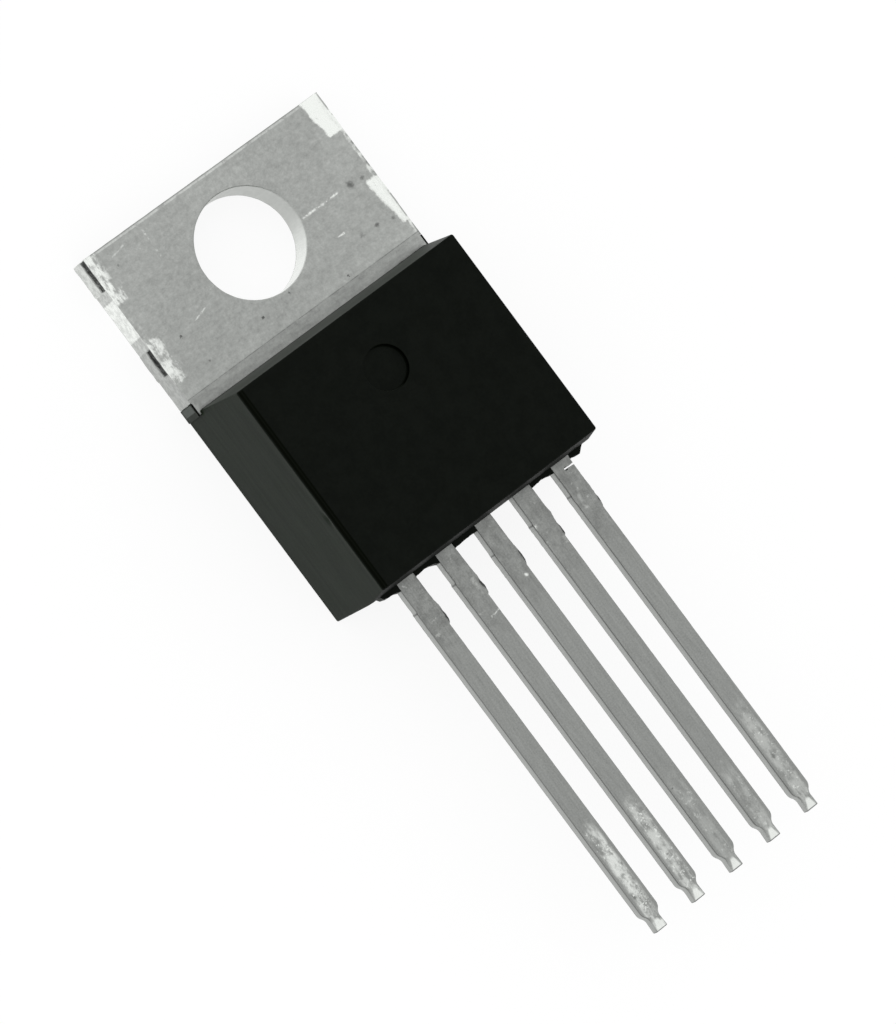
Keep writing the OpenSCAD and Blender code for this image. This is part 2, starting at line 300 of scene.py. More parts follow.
def inner_grid(outline, spacing, clear_of, clear_r):
    """Points of a staggered grid inside an outline that stay clear of a circle."""
    margin = CAP_MARGIN * spacing
    x1, y1 = outline.T
    x2, y2 = np.roll(x1, -1), np.roll(y1, -1)
    low, high = outline.min(axis=0), outline.max(axis=0)
    nx, ny = (max(1, round(float(size) / spacing)) for size in high - low)
    grid = []
    for i in range(1, nx):
        for j in range(1, ny):
            x = low[0] + (high[0] - low[0]) * (i + (CAP_STAGGER if j % 2 else -CAP_STAGGER)) / nx
            y = low[1] + (high[1] - low[1]) * j / ny
            with np.errstate(divide="ignore", invalid="ignore"):
                crossed = ((y1 > y) != (y2 > y)) & (x < x1 + (y - y1) * (x2 - x1) / (y2 - y1))
            clear = math.hypot(x - clear_of[0], y - clear_of[1]) >= clear_r + margin
            if clear and np.count_nonzero(crossed) % 2 and np.hypot(x1 - x, y1 - y).min() > margin:
                grid.append((x, y))
    return grid


def add_cap(points, faces, rims, spacing, height, clear_of=(0.0, 0.0), clear_r=0.0):
    """Fills the first rim round the others, with new points at height(x, y).

    points and faces are the solid's own lists. A rim is a ring of the solid's points and the number of its first.
    """
    rim, edges, numbers, ring_of = [], [], [], []
    for k, (ring, first) in enumerate(rims):
        start, count = len(rim), len(ring)
        rim += ring[:, :2].tolist()
        edges += [(start + i, start + (i + 1) % count) for i in range(count)]
        numbers += range(first, first + count)
        ring_of += [k] * count
    grid = inner_grid(rims[0][0][:, :2], spacing, clear_of, clear_r)
    numbers += range(len(points), len(points) + len(grid))
    vectors = [Vector(p) for p in rim + grid]
    _, _, triangles, source, _, _ = delaunay_2d_cdt(vectors, edges, [], 0, 1e-9)
    # A triangle between three points of one ring lies within the ring where both turn the same way
    turns = [turn(ring[:, :2]) for ring, _ in rims]
    for triangle in triangles:
        origins = sorted(source[k][0] for k in triangle)
        if origins[-1] < len(rim) and ring_of[origins[0]] == ring_of[origins[-1]]:
            k = ring_of[origins[0]]
            within = turn([rim[o] for o in origins]) * turns[k] > 0
            if within != (k == 0):
                continue
        faces.append(tuple(numbers[source[k][0]] for k in triangle))
    points += [(x, y, height(x, y)) for x, y in grid]


# ---- Leads ----

# Distances from the moulding at which the cut dam bars' edges are given, and how far each edge stands out there
STUB_AT = (0.0, 0.3, 0.9, 1.15, 1.35, 1.55, 1.75, 1.9, 2.02, 2.06)
RIGHT_STUB = {
    GATE: (0.03, 0.04, 0.04, 0.05, 0.09, 0.08, 0.096, 0.085, 0.05, 0.0),
    SENSE: (0.02, 0.03, 0.045, 0.06, 0.077, 0.062, 0.09, 0.07, 0.045, 0.0),
    DRAIN: (0.03, 0.035, 0.035, 0.04, 0.055, 0.075, 0.083, 0.065, 0.03, 0.0),
    KELVIN: (0.05, 0.06, 0.058, 0.09, 0.06, 0.032, 0.06, 0.065, 0.05, 0.0),
    SOURCE: (0.075, 0.055, 0.05, 0.06, 0.055, 0.05, 0.06, 0.05, 0.025, 0.0),
}
LEFT_STUB_AT = (0.0, 1.1, 1.16, 14.0)
LEFT_STUB = {
    GATE: (-0.026, -0.024, 0.0, 0.0),
    SENSE: (-0.01, -0.016, 0.004, 0.0),
    DRAIN: (-0.03, -0.012, 0.0, 0.0),
    KELVIN: (-0.02, -0.018, 0.0, 0.0),
    SOURCE: (-0.012, -0.016, 0.0, 0.0),
}
SECTION_CORNER = 4
SECTION_SIDES = (5, 1, 5, 1)
SECTION_ROUND = 0.03
# Rounding of a lead's cut end: its length, and how far it draws in the front face
END_ROUND = 0.045
END_SHRINK = 0.04
# Distances from the moulding between which a lead's edges are rough from the cut dam bar
DAM_ROUGH = (0.95, 2.05)
# How far a tip's right edge is coined outwards at its end, and how far all edges stand out anyway
TIP_FLARE = 0.03
EDGE_GAIN = 0.006


def section_ring(left, right, low, high, r_low=SECTION_ROUND, r_high=SECTION_ROUND):
    """A rectangle with round corners in X and Z, counted anticlockwise from its lower left corner."""
    corners = [
        (left + r_low, low + r_low, r_low, 180), (right - r_low, low + r_low, r_low, 270),
        (right - r_high, high - r_high, r_high, 0), (left + r_high, high - r_high, r_high, 90),
    ]
    return round_corners(corners, SECTION_CORNER, SECTION_SIDES)


def tip_half_width(s):
    """Half width at a distance s below the start of the shoulder, through two equal arcs."""
    angle = 2 * math.atan((LEAD_W - TIP_W) / 2 / SHOULDER_LEN)
    r = SHOULDER_LEN / (2 * math.sin(angle))
    if s <= 0:
        return LEAD_W / 2
    if s <= SHOULDER_LEN / 2:
        return LEAD_W / 2 - r + math.sqrt(r * r - s * s)
    t = max(0.0, SHOULDER_LEN - s)
    return TIP_W / 2 + r - math.sqrt(r * r - t * t)


def lead_stations():
    """Distances from the moulding at which a lead's section is given."""
    close = np.arange(0, 2.2, 0.03)
    middle = np.arange(2.2, LEAD_LEN - 1.0, 0.11)
    tip = np.arange(LEAD_LEN - 1.0, LEAD_LEN - END_ROUND, 0.028)
    end = LEAD_LEN - END_ROUND * np.array([1, 0.7, 0.45, 0.25, 0.1, 0.02, 0])
    return np.concatenate([close, middle, tip, end])


def lead_section(n, s):
    """Half widths, heights and corner radii of lead n at a distance s from the moulding."""
    shoulder = LEAD_LEN - TIP_LEN - SHOULDER_LEN
    to_end = LEAD_LEN - s
    body = min(1.0, max(0.0, (shoulder - s) / 0.4))
    rough = 0.006 if DAM_ROUGH[0] < s < DAM_ROUGH[1] else 0.0025
    seed = n * 3.7 + 11
    left = body * float(np.interp(s, LEFT_STUB_AT, LEFT_STUB[n])) + rough * noise_1d(s / 0.09, seed)
    right = body * float(np.interp(s, STUB_AT, RIGHT_STUB[n])) + rough * noise_1d(s / 0.07, seed + 1)
    bevel = (TIP_BEVEL - 0.03) * max(0.0, 1 - to_end / (TIP_LEN + SHOULDER_LEN / 2))
    coin = max(0.0, 1 - abs(to_end - 0.42) / 0.4)
    flare = TIP_FLARE * max(0.0, 1 - to_end / TIP_LEN)
    shrink = rolled(max(0.0, 1 - to_end / END_ROUND), END_SHRINK)
    wave = 0.003 * noise_1d(s / 0.8, seed + 2)
    half = tip_half_width(s - shoulder) + EDGE_GAIN - 0.5 * shrink
    low, high = LEAD_Z + wave + 0.3 * shrink, LEAD_TOP_Z - bevel + wave - shrink
    return half + left + flare / 3, half + right + flare, low, high, 0.02 + 0.02 * coin, 0.03 + 0.07 * coin


def lead_ring(middle, s, section):
    """A section's points, at a distance s from the moulding."""
    x, z = section.T
    return np.column_stack([middle + x, np.full(len(x), MOULD_END_Y - s), z])


def straight_rings(n):
    """Sections of the part of a lead that stands out of the moulding."""
    rings = []
    for s in lead_stations():
        left, right, *others = lead_section(n, s)
        rings.append(lead_ring(n * PITCH, s, section_ring(-left, right, *others)))
    return rings


def post_edges(n):
    """Outer edges in X of a bonding post."""
    inner = abs(n) * PITCH - (PITCH - POST_GAP) / 2
    outer = OUTER_POST_X if abs(n) == SOURCE else abs(n) * PITCH + (PITCH - POST_GAP) / 2
    return (inner, outer) if n > 0 else (-outer, -inner)


def post_rings(n):
    """Sections of the hidden end of a lead: the bonding post, then the root with its two resin locks."""
    x0, x1 = post_edges(n)
    post_end = MOULD_END_Y - POST_END_Y
    sections = [(0.0, s, x0, x1) for s in (post_end, post_end + 0.03, -POST_IN - 0.03, -POST_IN)]
    for s in np.arange(-POST_IN + 0.005, -0.01, 0.03):
        half = ROOT_W / 2 - math.sqrt(max(0.0, LOCK_R ** 2 - (s + POST_IN / 2) ** 2))
        sections.append((n * PITCH, s, -half, half))
    return [lead_ring(middle, s, section_ring(x0, x1, LEAD_Z, LEAD_TOP_Z)) for middle, s, x0, x1 in sections]


def cut_nick(lead):
    """The small break in the last lead's right edge: a thin slot that ends in a rounder bite."""
    y = MOULD_END_Y - NICK_FROM_MOULD
    right = SOURCE * PITCH + ROOT_W / 2
    x = right - NICK_W
    half = NICK_H / 2
    opening = math.degrees(math.asin(half / (NICK_END_D / 2)))
    outline = []
    for i in range(NICK_STEPS + 1):
        a = math.radians(opening + (360 - 2 * opening) * i / NICK_STEPS)
        r = NICK_END_D / 2 * (1 + 0.06 * noise_1d(a * 2, 7.0))
        outline.append((x + r * math.cos(a), y + r * math.sin(a)))
    outline += [(x + 0.13, y - 0.8 * half), (right, y - 1.1 * half), (right + 0.2, y - 1.8 * half)]
    outline += [(right + 0.2, y + 1.5 * half), (right, y + 0.9 * half), (x + 0.15, y + 0.7 * half)]
    boolean(lead, slab("nick", outline, LEAD_Z - 0.2, LEAD_TOP_Z + 0.2), "DIFFERENCE")


# ---- Tab, pad and centre lead ----

def side_counts(corners, step):
    """Into how many pieces each side of an outline is cut."""
    ends = np.array(corners, float)
    lengths = np.linalg.norm(np.roll(ends, -1, axis=0) - ends, axis=1)
    return [max(1, round(float(v) / step)) for v in lengths]


def walk(corners, counts):
    """Points along a closed outline: place, own side, the side just before each point, and each side's normal."""
    points, own, before = [], [], []
    count = len(corners)
    ends = np.array(corners, float)
    along = np.roll(ends, -1, axis=0) - ends
    unit = along / np.linalg.norm(along, axis=1)[:, None]
    for k in range(count):
        for i in range(counts[k]):
            points.append(ends[k] + along[k] * i / counts[k])
            own.append(k)
            before.append((k - 1) % count if i == 0 else k)
    return np.array(points), np.array(own), np.array(before), np.column_stack([unit[:, 1], -unit[:, 0]])


def tab_corners(ledge):
    """The tab and pad's outline, with the pad's three free sides drawn in by the ledge."""
    half_pad = PAD_W / 2 - ledge
    right = [
        (half_pad, PAD_END_Y + ledge), (half_pad, JOINT_Y - WAIST_LEN),
        (WAIST_W / 2, JOINT_Y - WAIST_LEN), (WAIST_W / 2, JOINT_Y - SHOULDER_IN),
        (TAB_W / 2 - SKIN_T, JOINT_Y - SHOULDER_IN), (TAB_W / 2 - SKIN_T, JOINT_Y + SKIN_LEN),
        (TAB_W / 2, JOINT_Y + SKIN_LEN), (TAB_W / 2, TOP_Y),
    ]
    return right + [(-x, y) for x, y in reversed(right)]


RIGHT_EDGE, TOP_EDGE, LEFT_EDGE = 6, 7, 8
TAB_LEVELS = (
    0, 0.006, 0.02, 0.16, 0.32, LEDGE_Z - 0.005, LEDGE_Z + 0.005, 0.62, 0.74, TIE_T - 0.02, TIE_T + 0.01,
    0.93, 1.0, 1.08, 1.16, TAB_T - 0.05, TAB_T - 0.03, TAB_T - 0.014, TAB_T - 0.004, TAB_T,
)
FRONT_ROUND = 0.02
BACK_ROUND = 0.02
TIE_RAMP = 0.03


def edge_round(z, front_round):
    """How far an edge's rounds draw in at a height: rolled over at the front, nearly square at the back."""
    front, back = (z - TAB_T + front_round) / front_round, 1 - z / BACK_ROUND
    return rolled(max(0.0, front), front_round) + rolled(max(0.0, back), BACK_ROUND)


def in_tie(from_top):
    """1 on a sheared tie bar's stretch of the tab's edge, 0 elsewhere, with short ramps between."""
    upper = np.clip((UPPER_TIE_LEN - from_top) / TIE_RAMP, 0, 1)
    lower = np.clip((from_top - LOWER_TIE_FROM_TOP) / TIE_RAMP, 0, 1)
    lower = lower * np.clip((LOWER_TIE_FROM_TOP + LOWER_TIE_LEN - from_top) / TIE_RAMP, 0, 1)
    return np.maximum(upper, lower)


def tab_edge_out(points, sides, z):
    """How far the tab's edge stands out from its outline at one height, for points on the given sides."""
    out = np.full(len(points), -edge_round(z, FRONT_ROUND))
    x, y = points[:, 0], points[:, 1]
    tie = in_tie(TOP_Y - y)
    proud = TIE_PROUD - 0.01 + 0.01 * noise_2d(y / 0.11, z / 0.15, 5.0)
    broken = -0.05 + 0.016 * noise_2d(y / 0.08, z / 0.08, 9.0)
    step = min(1.0, max(0.0, (z - TIE_T + 0.01) / 0.05)) * min(1.0, max(0.2, (TAB_T - z) / 0.04))
    plain = 0.004 * noise_2d(y / 0.3, z / 0.25, 13.0) - 0.004
    edge = np.isin(sides, (RIGHT_EDGE, LEFT_EDGE))
    out[edge] += (tie * (proud * (1 - step) + broken * step) + (1 - tie) * plain)[edge]
    top = sides == TOP_EDGE
    out[top] += (0.003 * noise_2d(x / 0.4, z / 0.3, 17.0) - 0.003)[top]
    return out


def tab_layer(points, own, before, normals, z):
    """The tab's outline at one height, with the points of each side spread evenly between its moved corners."""
    first = np.nonzero(own != before)[0]
    out = tab_edge_out(points, own, z)
    moved = points[first] + normals[own[first]] * out[first][:, None]
    moved += normals[before[first]] * tab_edge_out(points, before, z)[first][:, None]
    ring = np.zeros((len(points), 3))
    ring[:, 2] = z
    for k, start in enumerate(first):
        here = np.nonzero(own == own[start])[0]
        normal = normals[own[start]]
        along = np.array((-normal[1], normal[0]))
        t = np.arange(len(here)) / len(here)
        travel = moved[k] @ along * (1 - t) + moved[(k + 1) % len(first)] @ along * t
        level = points[here] @ normal + out[here]
        ring[here, :2] = travel[:, None] * along + level[:, None] * normal
    return ring


HOLE_STEPS = 128
HOLE_ROUND = 0.06
# Half of what the hole's wall widens from the back to the front
HOLE_TAPER = 0.012
TAB_STEP = 0.055
TAB_CAP_STEP = 0.16


def hole_layer(z):
    """The screw hole's wall at one height: rolled in at the front, with fine streaks left by the punch."""
    a = 2 * math.pi * np.arange(HOLE_STEPS) / HOLE_STEPS
    r = HOLE_D / 2 + HOLE_TAPER * (2 * z / TAB_T - 1) + edge_round(z, HOLE_ROUND)
    return round_ring((0.0, 0.0), r + 0.003 * noise_2d(a * 14, z / 0.5, 21.0), a, z)


def face_height(level, x, y):
    """Height of the tab's back face (level 0) or front face, with a faint wave where it shows."""
    wave = 0.0025 * noise_2d(x / 0.9, y / 0.7, 31.0 + level) + 0.001 * noise_2d(x / 0.3, y / 0.3, 37.0)
    if level == 0:
        return float(abs(wave))
    return TAB_T + float(wave) * (y > JOINT_Y)


def tab_plate():
    counts = side_counts(tab_corners(0), TAB_STEP)
    outer = [tab_layer(*walk(tab_corners(LEDGE_W if z < LEDGE_Z else 0), counts), z) for z in TAB_LEVELS]
    inner = [hole_layer(z) for z in TAB_LEVELS]
    count, top = len(outer[0]), len(TAB_LEVELS) - 1
    hole = count * len(TAB_LEVELS)
    points = np.vstack(outer + inner).tolist()
    faces = []
    for k in range(top):
        faces += quads(k * count, count) + quads(hole + k * HOLE_STEPS, HOLE_STEPS, inward=True)
    for level in (0, top):
        rims = [(outer[level], level * count), (inner[level], hole + level * HOLE_STEPS)]
        hole_r = float(np.hypot(inner[level][:, 0], inner[level][:, 1]).max())
        add_cap(points, faces, rims, TAB_CAP_STEP, partial(face_height, level), (0.0, 0.0), hole_r)
    return make_object("tab", points, faces)


def cut_groove(tab):
    """The groove across the waist that the resin fills."""
    y = JOINT_Y - SHOULDER_IN - GROOVE_W / 2
    half = TAB_W / 2 + 1
    side = [(y - GROOVE_W / 2, TAB_T + 0.1), (y - GROOVE_W / 2, TAB_T), (y, TAB_T - GROOVE_DEPTH)]
    side += [(y + GROOVE_W / 2, TAB_T), (y + GROOVE_W / 2, TAB_T + 0.1)]
    cutter = stack("groove", [np.array([(x, v, z) for v, z in side]) for x in (-half, half)])
    boolean(tab, cutter, "DIFFERENCE")


def joggle_rings():
    """Sections of the centre lead inside the moulding, from the pad up to the level of the leads."""
    upper_z = LEAD_Z + LEAD_T / 2
    lower_z = TAB_T - LEAD_T / 2
    slope = (upper_z - lower_z - 2 * BEND_R * (1 - math.cos(BEND_ANGLE))) / math.sin(BEND_ANGLE)
    run = 2 * BEND_R * math.sin(BEND_ANGLE) + slope * math.cos(BEND_ANGLE)
    y1 = (MOULD_END_Y + PAD_END_Y - run) / 2
    bend = []
    for i in range(BEND_STEPS + 1):
        a = BEND_ANGLE * i / BEND_STEPS
        bend.append((BEND_R * math.sin(a), BEND_R * (1 - math.cos(a)), a))
    path = [(PAD_END_Y + LEDGE_W, lower_z, 0.0)]
    path += [(y1 + run - y, lower_z + z, a) for y, z, a in bend]
    path += [(y1 + y, upper_z - z, a) for y, z, a in reversed(bend)]
    path.append((MOULD_END_Y + 0.03, upper_z, 0.0))
    x, t = section_ring(-ROOT_W / 2, ROOT_W / 2, -LEAD_T / 2, LEAD_T / 2).T
    return [np.column_stack([x, y + t * math.sin(a), z + t * math.cos(a)]) for y, z, a in path]


def drain_piece():
    tab = tab_plate()
    tidy_mesh(tab)
    cut_groove(tab)
    boolean(tab, stack("centre", joggle_rings() + straight_rings(DRAIN)), "UNION")
    tidy_mesh(tab)
    return tab


# ---- Moulding ----

CORNER_ROUND = 0.07
CORNER_STEPS = 6
MOULD_SIDES = (66, 80, 66, 80)
# The small chip in the left face: its place along Y and Z, its half lengths and its depth
CHIP_Y, CHIP_Z = JOINT_Y - 5.35, MOULD_H - 0.2
CHIP_HALF_Y, CHIP_HALF_Z = 0.18, 0.09
CHIP_DEPTH = 0.05
PIN_MARK_AT = (0.0, JOINT_Y - PIN_MARK_FROM_TAB)
PIN_MARK_STEPS = 96
# The pin mark's section from the front face down to its floor: how far outside its radius, and how deep
PIN_MARK_SECTION = (
    (0.02, 0.0), (0.006, 0.004), (0.0, 0.016),
    (-0.008, PIN_MARK_DEPTH - 0.02), (-0.02, PIN_MARK_DEPTH - 0.004), (-0.045, PIN_MARK_DEPTH),
)
# Spacing of the points on the front face, on the pin mark's floor and on the back face
FRONT_STEP, FLOOR_STEP, BACK_STEP = 0.2, 0.16, 0.5


def mould_limits(z):
    """Half width, upper side and lower side of the moulding at a height."""
    half = MOULD_W / 2 - z * math.tan(SIDE_DRAFT)
    top = JOINT_Y - max(0.0, z - TAB_T) * math.tan(TOP_DRAFT)
    low = MOULD_END_Y + max(0.0, LEAD_Z - z) * math.tan(BACK_DRAFT)
    low += max(0.0, z - LEAD_TOP_Z) * math.tan(FRONT_DRAFT)
    return half, top, low


def mould_layer(z, inset):
    """The moulding's outline at one height, with faint waves and the chip in its sides."""
    limit, top, low = mould_limits(z)
    r = CORNER_ROUND
    right, upper, lower = limit - inset - r, top - inset - r, low + inset + r
    corners = [(right, lower, r, 270), (right, upper, r, 0), (-right, upper, r, 90), (-right, lower, r, 180)]
    x, y = round_corners(corners, CORNER_STEPS, MOULD_SIDES).T
    wave = 0.004 * (noise_2d((x + y) / 0.7, z / 0.9, 41.0) - 1) * (0.05 < z < MOULD_H - 0.1)
    chip = np.exp(-((y - CHIP_Y) / CHIP_HALF_Y) ** 2 - ((z - CHIP_Z) / CHIP_HALF_Z) ** 2) * (x < 0)
    moved = x + np.sign(x) * wave * (np.abs(x) > limit - inset - 0.01)
    moved += CHIP_DEPTH * chip * (np.abs(x) > limit - inset - 0.02)
    return at_height(np.column_stack([moved, y]), z)


def mould_layers():
    """Rings from the nearly square back edge up the sides to the quarter round of the front edge."""
    layers = [mould_layer(z, inset) for z, inset in ((0, 0.03), (0.01, 0.012), (0.03, 0))]
    # Where each stretch starts and ends, its step, and the heights at which the sides bend after it
    stretches = (
        (0.16, TAB_T - 0.05, 0.17, TAB_T - 0.001, TAB_T + 0.02),
        (TAB_T + 0.18, LEAD_Z - 0.05, 0.17, LEAD_Z, LEAD_Z + 0.02),
        (LEAD_Z + 0.16, LEAD_TOP_Z - 0.05, 0.13, LEAD_TOP_Z - 0.01, LEAD_TOP_Z + 0.01),
        (LEAD_TOP_Z + 0.12, MOULD_H - EDGE_ROUND - 0.02, 0.08, MOULD_H - EDGE_ROUND),
    )
    for start, end, step, *bends in stretches:
        layers += [mould_layer(z, 0) for z in [*np.arange(start, end, step), *bends]]
    for i in range(1, CORNER_STEPS + 1):
        a = math.radians(90 * i / CORNER_STEPS)
        layers.append(mould_layer(MOULD_H - EDGE_ROUND * (1 - math.sin(a)), EDGE_ROUND * (1 - math.cos(a))))
    return layers


def pin_mark_rings():
    """The ejector pin's mark: rings from the front face down to a flat floor."""
    a = 2 * math.pi * np.arange(PIN_MARK_STEPS) / PIN_MARK_STEPS
    ridge = 0.006 * noise_1d(a * 5, 51.0)
    rings = []
    for outside, depth in PIN_MARK_SECTION:
        r = PIN_MARK_R + outside + ridge * (depth < PIN_MARK_DEPTH / 2)
        rings.append(round_ring(PIN_MARK_AT, r, a, MOULD_H - depth))
    return rings


def floor_height(x, y):
    return MOULD_H - PIN_MARK_DEPTH + 0.004 * noise_2d(x / 0.25, y / 0.25, 57.0)


def mould_block():
    layers, mark = mould_layers(), pin_mark_rings()
    count = len(layers[0])
    mark_first = len(layers) * count
    floor_first = mark_first + (len(mark) - 1) * PIN_MARK_STEPS
    points = np.vstack(layers + mark).tolist()
    faces = []
    for start in range(0, mark_first - count, count):
        faces += quads(start, count)
    for start in range(mark_first, floor_first, PIN_MARK_STEPS):
        faces += quads(start, PIN_MARK_STEPS, inward=True)
    front = [(layers[-1], mark_first - count), (mark[0], mark_first)]
    add_cap(points, faces, front, FRONT_STEP, lambda x, y: MOULD_H, PIN_MARK_AT, PIN_MARK_R + 0.03)
    add_cap(points, faces, [(mark[-1], floor_first)], FLOOR_STEP, floor_height)
    add_cap(points, faces, [(layers[0], 0)], BACK_STEP, lambda x, y: 0.0)
    block = make_object("mould", points, faces)
    tidy_mesh(block)
    return block


# Height of the resin below the moulding, from the left lead's edge (0) to the right lead's edge (1)
WEB_DROPS = {
    GATE: ((0, 0.2), (0.08, 0.17), (0.3, 0.14), (0.55, 0.135), (0.75, 0.18), (0.9, 0.24), (1, 0.28)),
    SENSE: ((0, 0.22), (0.1, 0.2), (0.4, 0.18), (0.7, 0.175), (0.9, 0.19), (1, 0.2)),
    KELVIN: ((0, 0.18), (0.12, 0.16), (0.45, 0.135), (0.6, 0.13), (0.8, 0.17), (1, 0.22)),
}
# Heights between which the resin between the leads lies
WEB_LOW, WEB_HIGH = LEAD_Z + 0.004, LEAD_TOP_Z - 0.012
# How far that resin reaches into its neighbours, and the number of steps along its edge
WEB_OVERLAP = 0.1
WEB_STEPS, SIDE_WEB_STEPS, SKIN_STEPS = 40, 34, 16


def web(n):
    """The resin between lead n and the next one."""
    x0, x1 = n * PITCH, (n + 1) * PITCH
    gap0, gap1 = x0 + LEAD_W / 2, x1 - LEAD_W / 2
    outline = []
    for i in range(WEB_STEPS + 1):
        x = gap0 - WEB_OVERLAP + (gap1 - gap0 + 2 * WEB_OVERLAP) * i / WEB_STEPS
        drop = profile(WEB_DROPS[n], (x - gap0) / (gap1 - gap0))
        drop += 0.007 * noise_1d(x / 0.06, 61.0 + n) + 0.006 * noise_1d(x / 0.17, 63.0 + n)
        outline.append((x, MOULD_END_Y - drop))
    outline += [(x1 - 0.2, MOULD_END_Y + WEB_OVERLAP), (x0 + 0.2, MOULD_END_Y + WEB_OVERLAP)]
    return slab(f"web{n}", outline, WEB_LOW, WEB_HIGH)


# Height of the resin beside the outer leads, by the distance from the lead's edge
LEFT_DROPS = ((-0.1, 0.26), (0.0, 0.25), (0.11, 0.21), (0.24, 0.18), (0.47, 0.175), (0.63, 0.12), (0.7, 0.02))
RIGHT_DROPS = ((-0.1, 0.13), (0.0, 0.14), (0.12, 0.15), (0.45, 0.21), (0.58, 0.1), (0.7, 0.0))
SIDE_WEB_REACH = 0.71


def side_web(side):
    """The resin beside an outer lead, which thins out away from it."""
    root = SOURCE * PITCH + LEAD_W / 2
    outline = []
    for i in range(SIDE_WEB_STEPS + 1):
        d = (SIDE_WEB_REACH + WEB_OVERLAP) * i / SIDE_WEB_STEPS - WEB_OVERLAP
        drop = profile(RIGHT_DROPS if side > 0 else LEFT_DROPS, d)
        drop = max(-0.01, drop + 0.007 * noise_1d(d / 0.06, 71.0 + side))
        outline.append((side * (root + d), MOULD_END_Y - drop))
    outline += [(side * (root + d), MOULD_END_Y + WEB_OVERLAP) for d in (SIDE_WEB_REACH, -WEB_OVERLAP)]
    return slab(f"side_web{side}", outline[::side], WEB_LOW, WEB_HIGH)


def skin(side):
    """The thin resin that climbs one edge of the tab, with a ragged upper end."""
    inner = TAB_W / 2 - SKIN_T - 0.02
    foot = JOINT_Y - SHOULDER_IN - 0.02
    rings = []
    for i in range(SKIN_STEPS + 1):
        z = (TAB_T - 0.012) * i / SKIN_STEPS
        end = JOINT_Y + SKIN_LEN - 0.015 + 0.02 * noise_1d(z / 0.13, 81.0 + side)
        out = TAB_W / 2 + 0.002 + 0.003 * noise_1d(z / 0.2, 85.0 + side)
        ring = [(inner, foot), (out, foot), (out, end - 0.02), (out - 0.01, end), (inner, end)]
        rings.append(at_height(np.array(ring) * (side, 1), z))
    return stack(f"skin{side}", rings)


# The metal's back face lies below the first height. Its cutter reaches down to the second one there, so that it
# cuts right through the resin's back face
BACK_SKIN = 0.0045
CUT_BELOW = -0.1


def mould_piece(metal, inner_nodes):
    block = mould_block()
    for part in [web(GATE), web(SENSE), web(KELVIN), side_web(-1), side_web(1), skin(-1), skin(1)]:
        boolean(block, part, "UNION")
    for piece in metal:
        cutter = place_object("cutter", piece.data.copy())
        for vertex in cutter.data.vertices:
            if vertex.co.z < BACK_SKIN * MM:
                vertex.co.z = CUT_BELOW * MM
        boolean(block, cutter, "DIFFERENCE")
    for node in inner_nodes:
        boolean(block, place_object("cutter", node.data.copy()), "DIFFERENCE")
    tidy_mesh(block)
    return block


# ---- Materials ----

def srgb(*levels):
    """A colour from 8-bit sRGB levels."""
    return tuple(v / 12.92 if v <= 0.04045 else ((v + 0.055) / 1.055) ** 2.4 for v in (n / 255 for n in levels))


class Value:
    """What a node gives out. Arithmetic on it adds the nodes that work the result out."""

    # Leaves sums with numpy's numbers to the methods below
    __array_ufunc__ = None

    def __init__(self, graph, socket):
        self.graph = graph
        self.socket = socket

    def __add__(self, other):
        return self.graph.math("ADD", self, other)

    def __sub__(self, other):
        return self.graph.math("SUBTRACT", self, other)

    def __rsub__(self, other):
        return self.graph.math("SUBTRACT", other, self)

    def __mul__(self, other):
        return self.graph.math("MULTIPLY", self, other)

    def __abs__(self):
        return self.graph.math("ABSOLUTE", self)

    __radd__ = __add__
    __rmul__ = __mul__


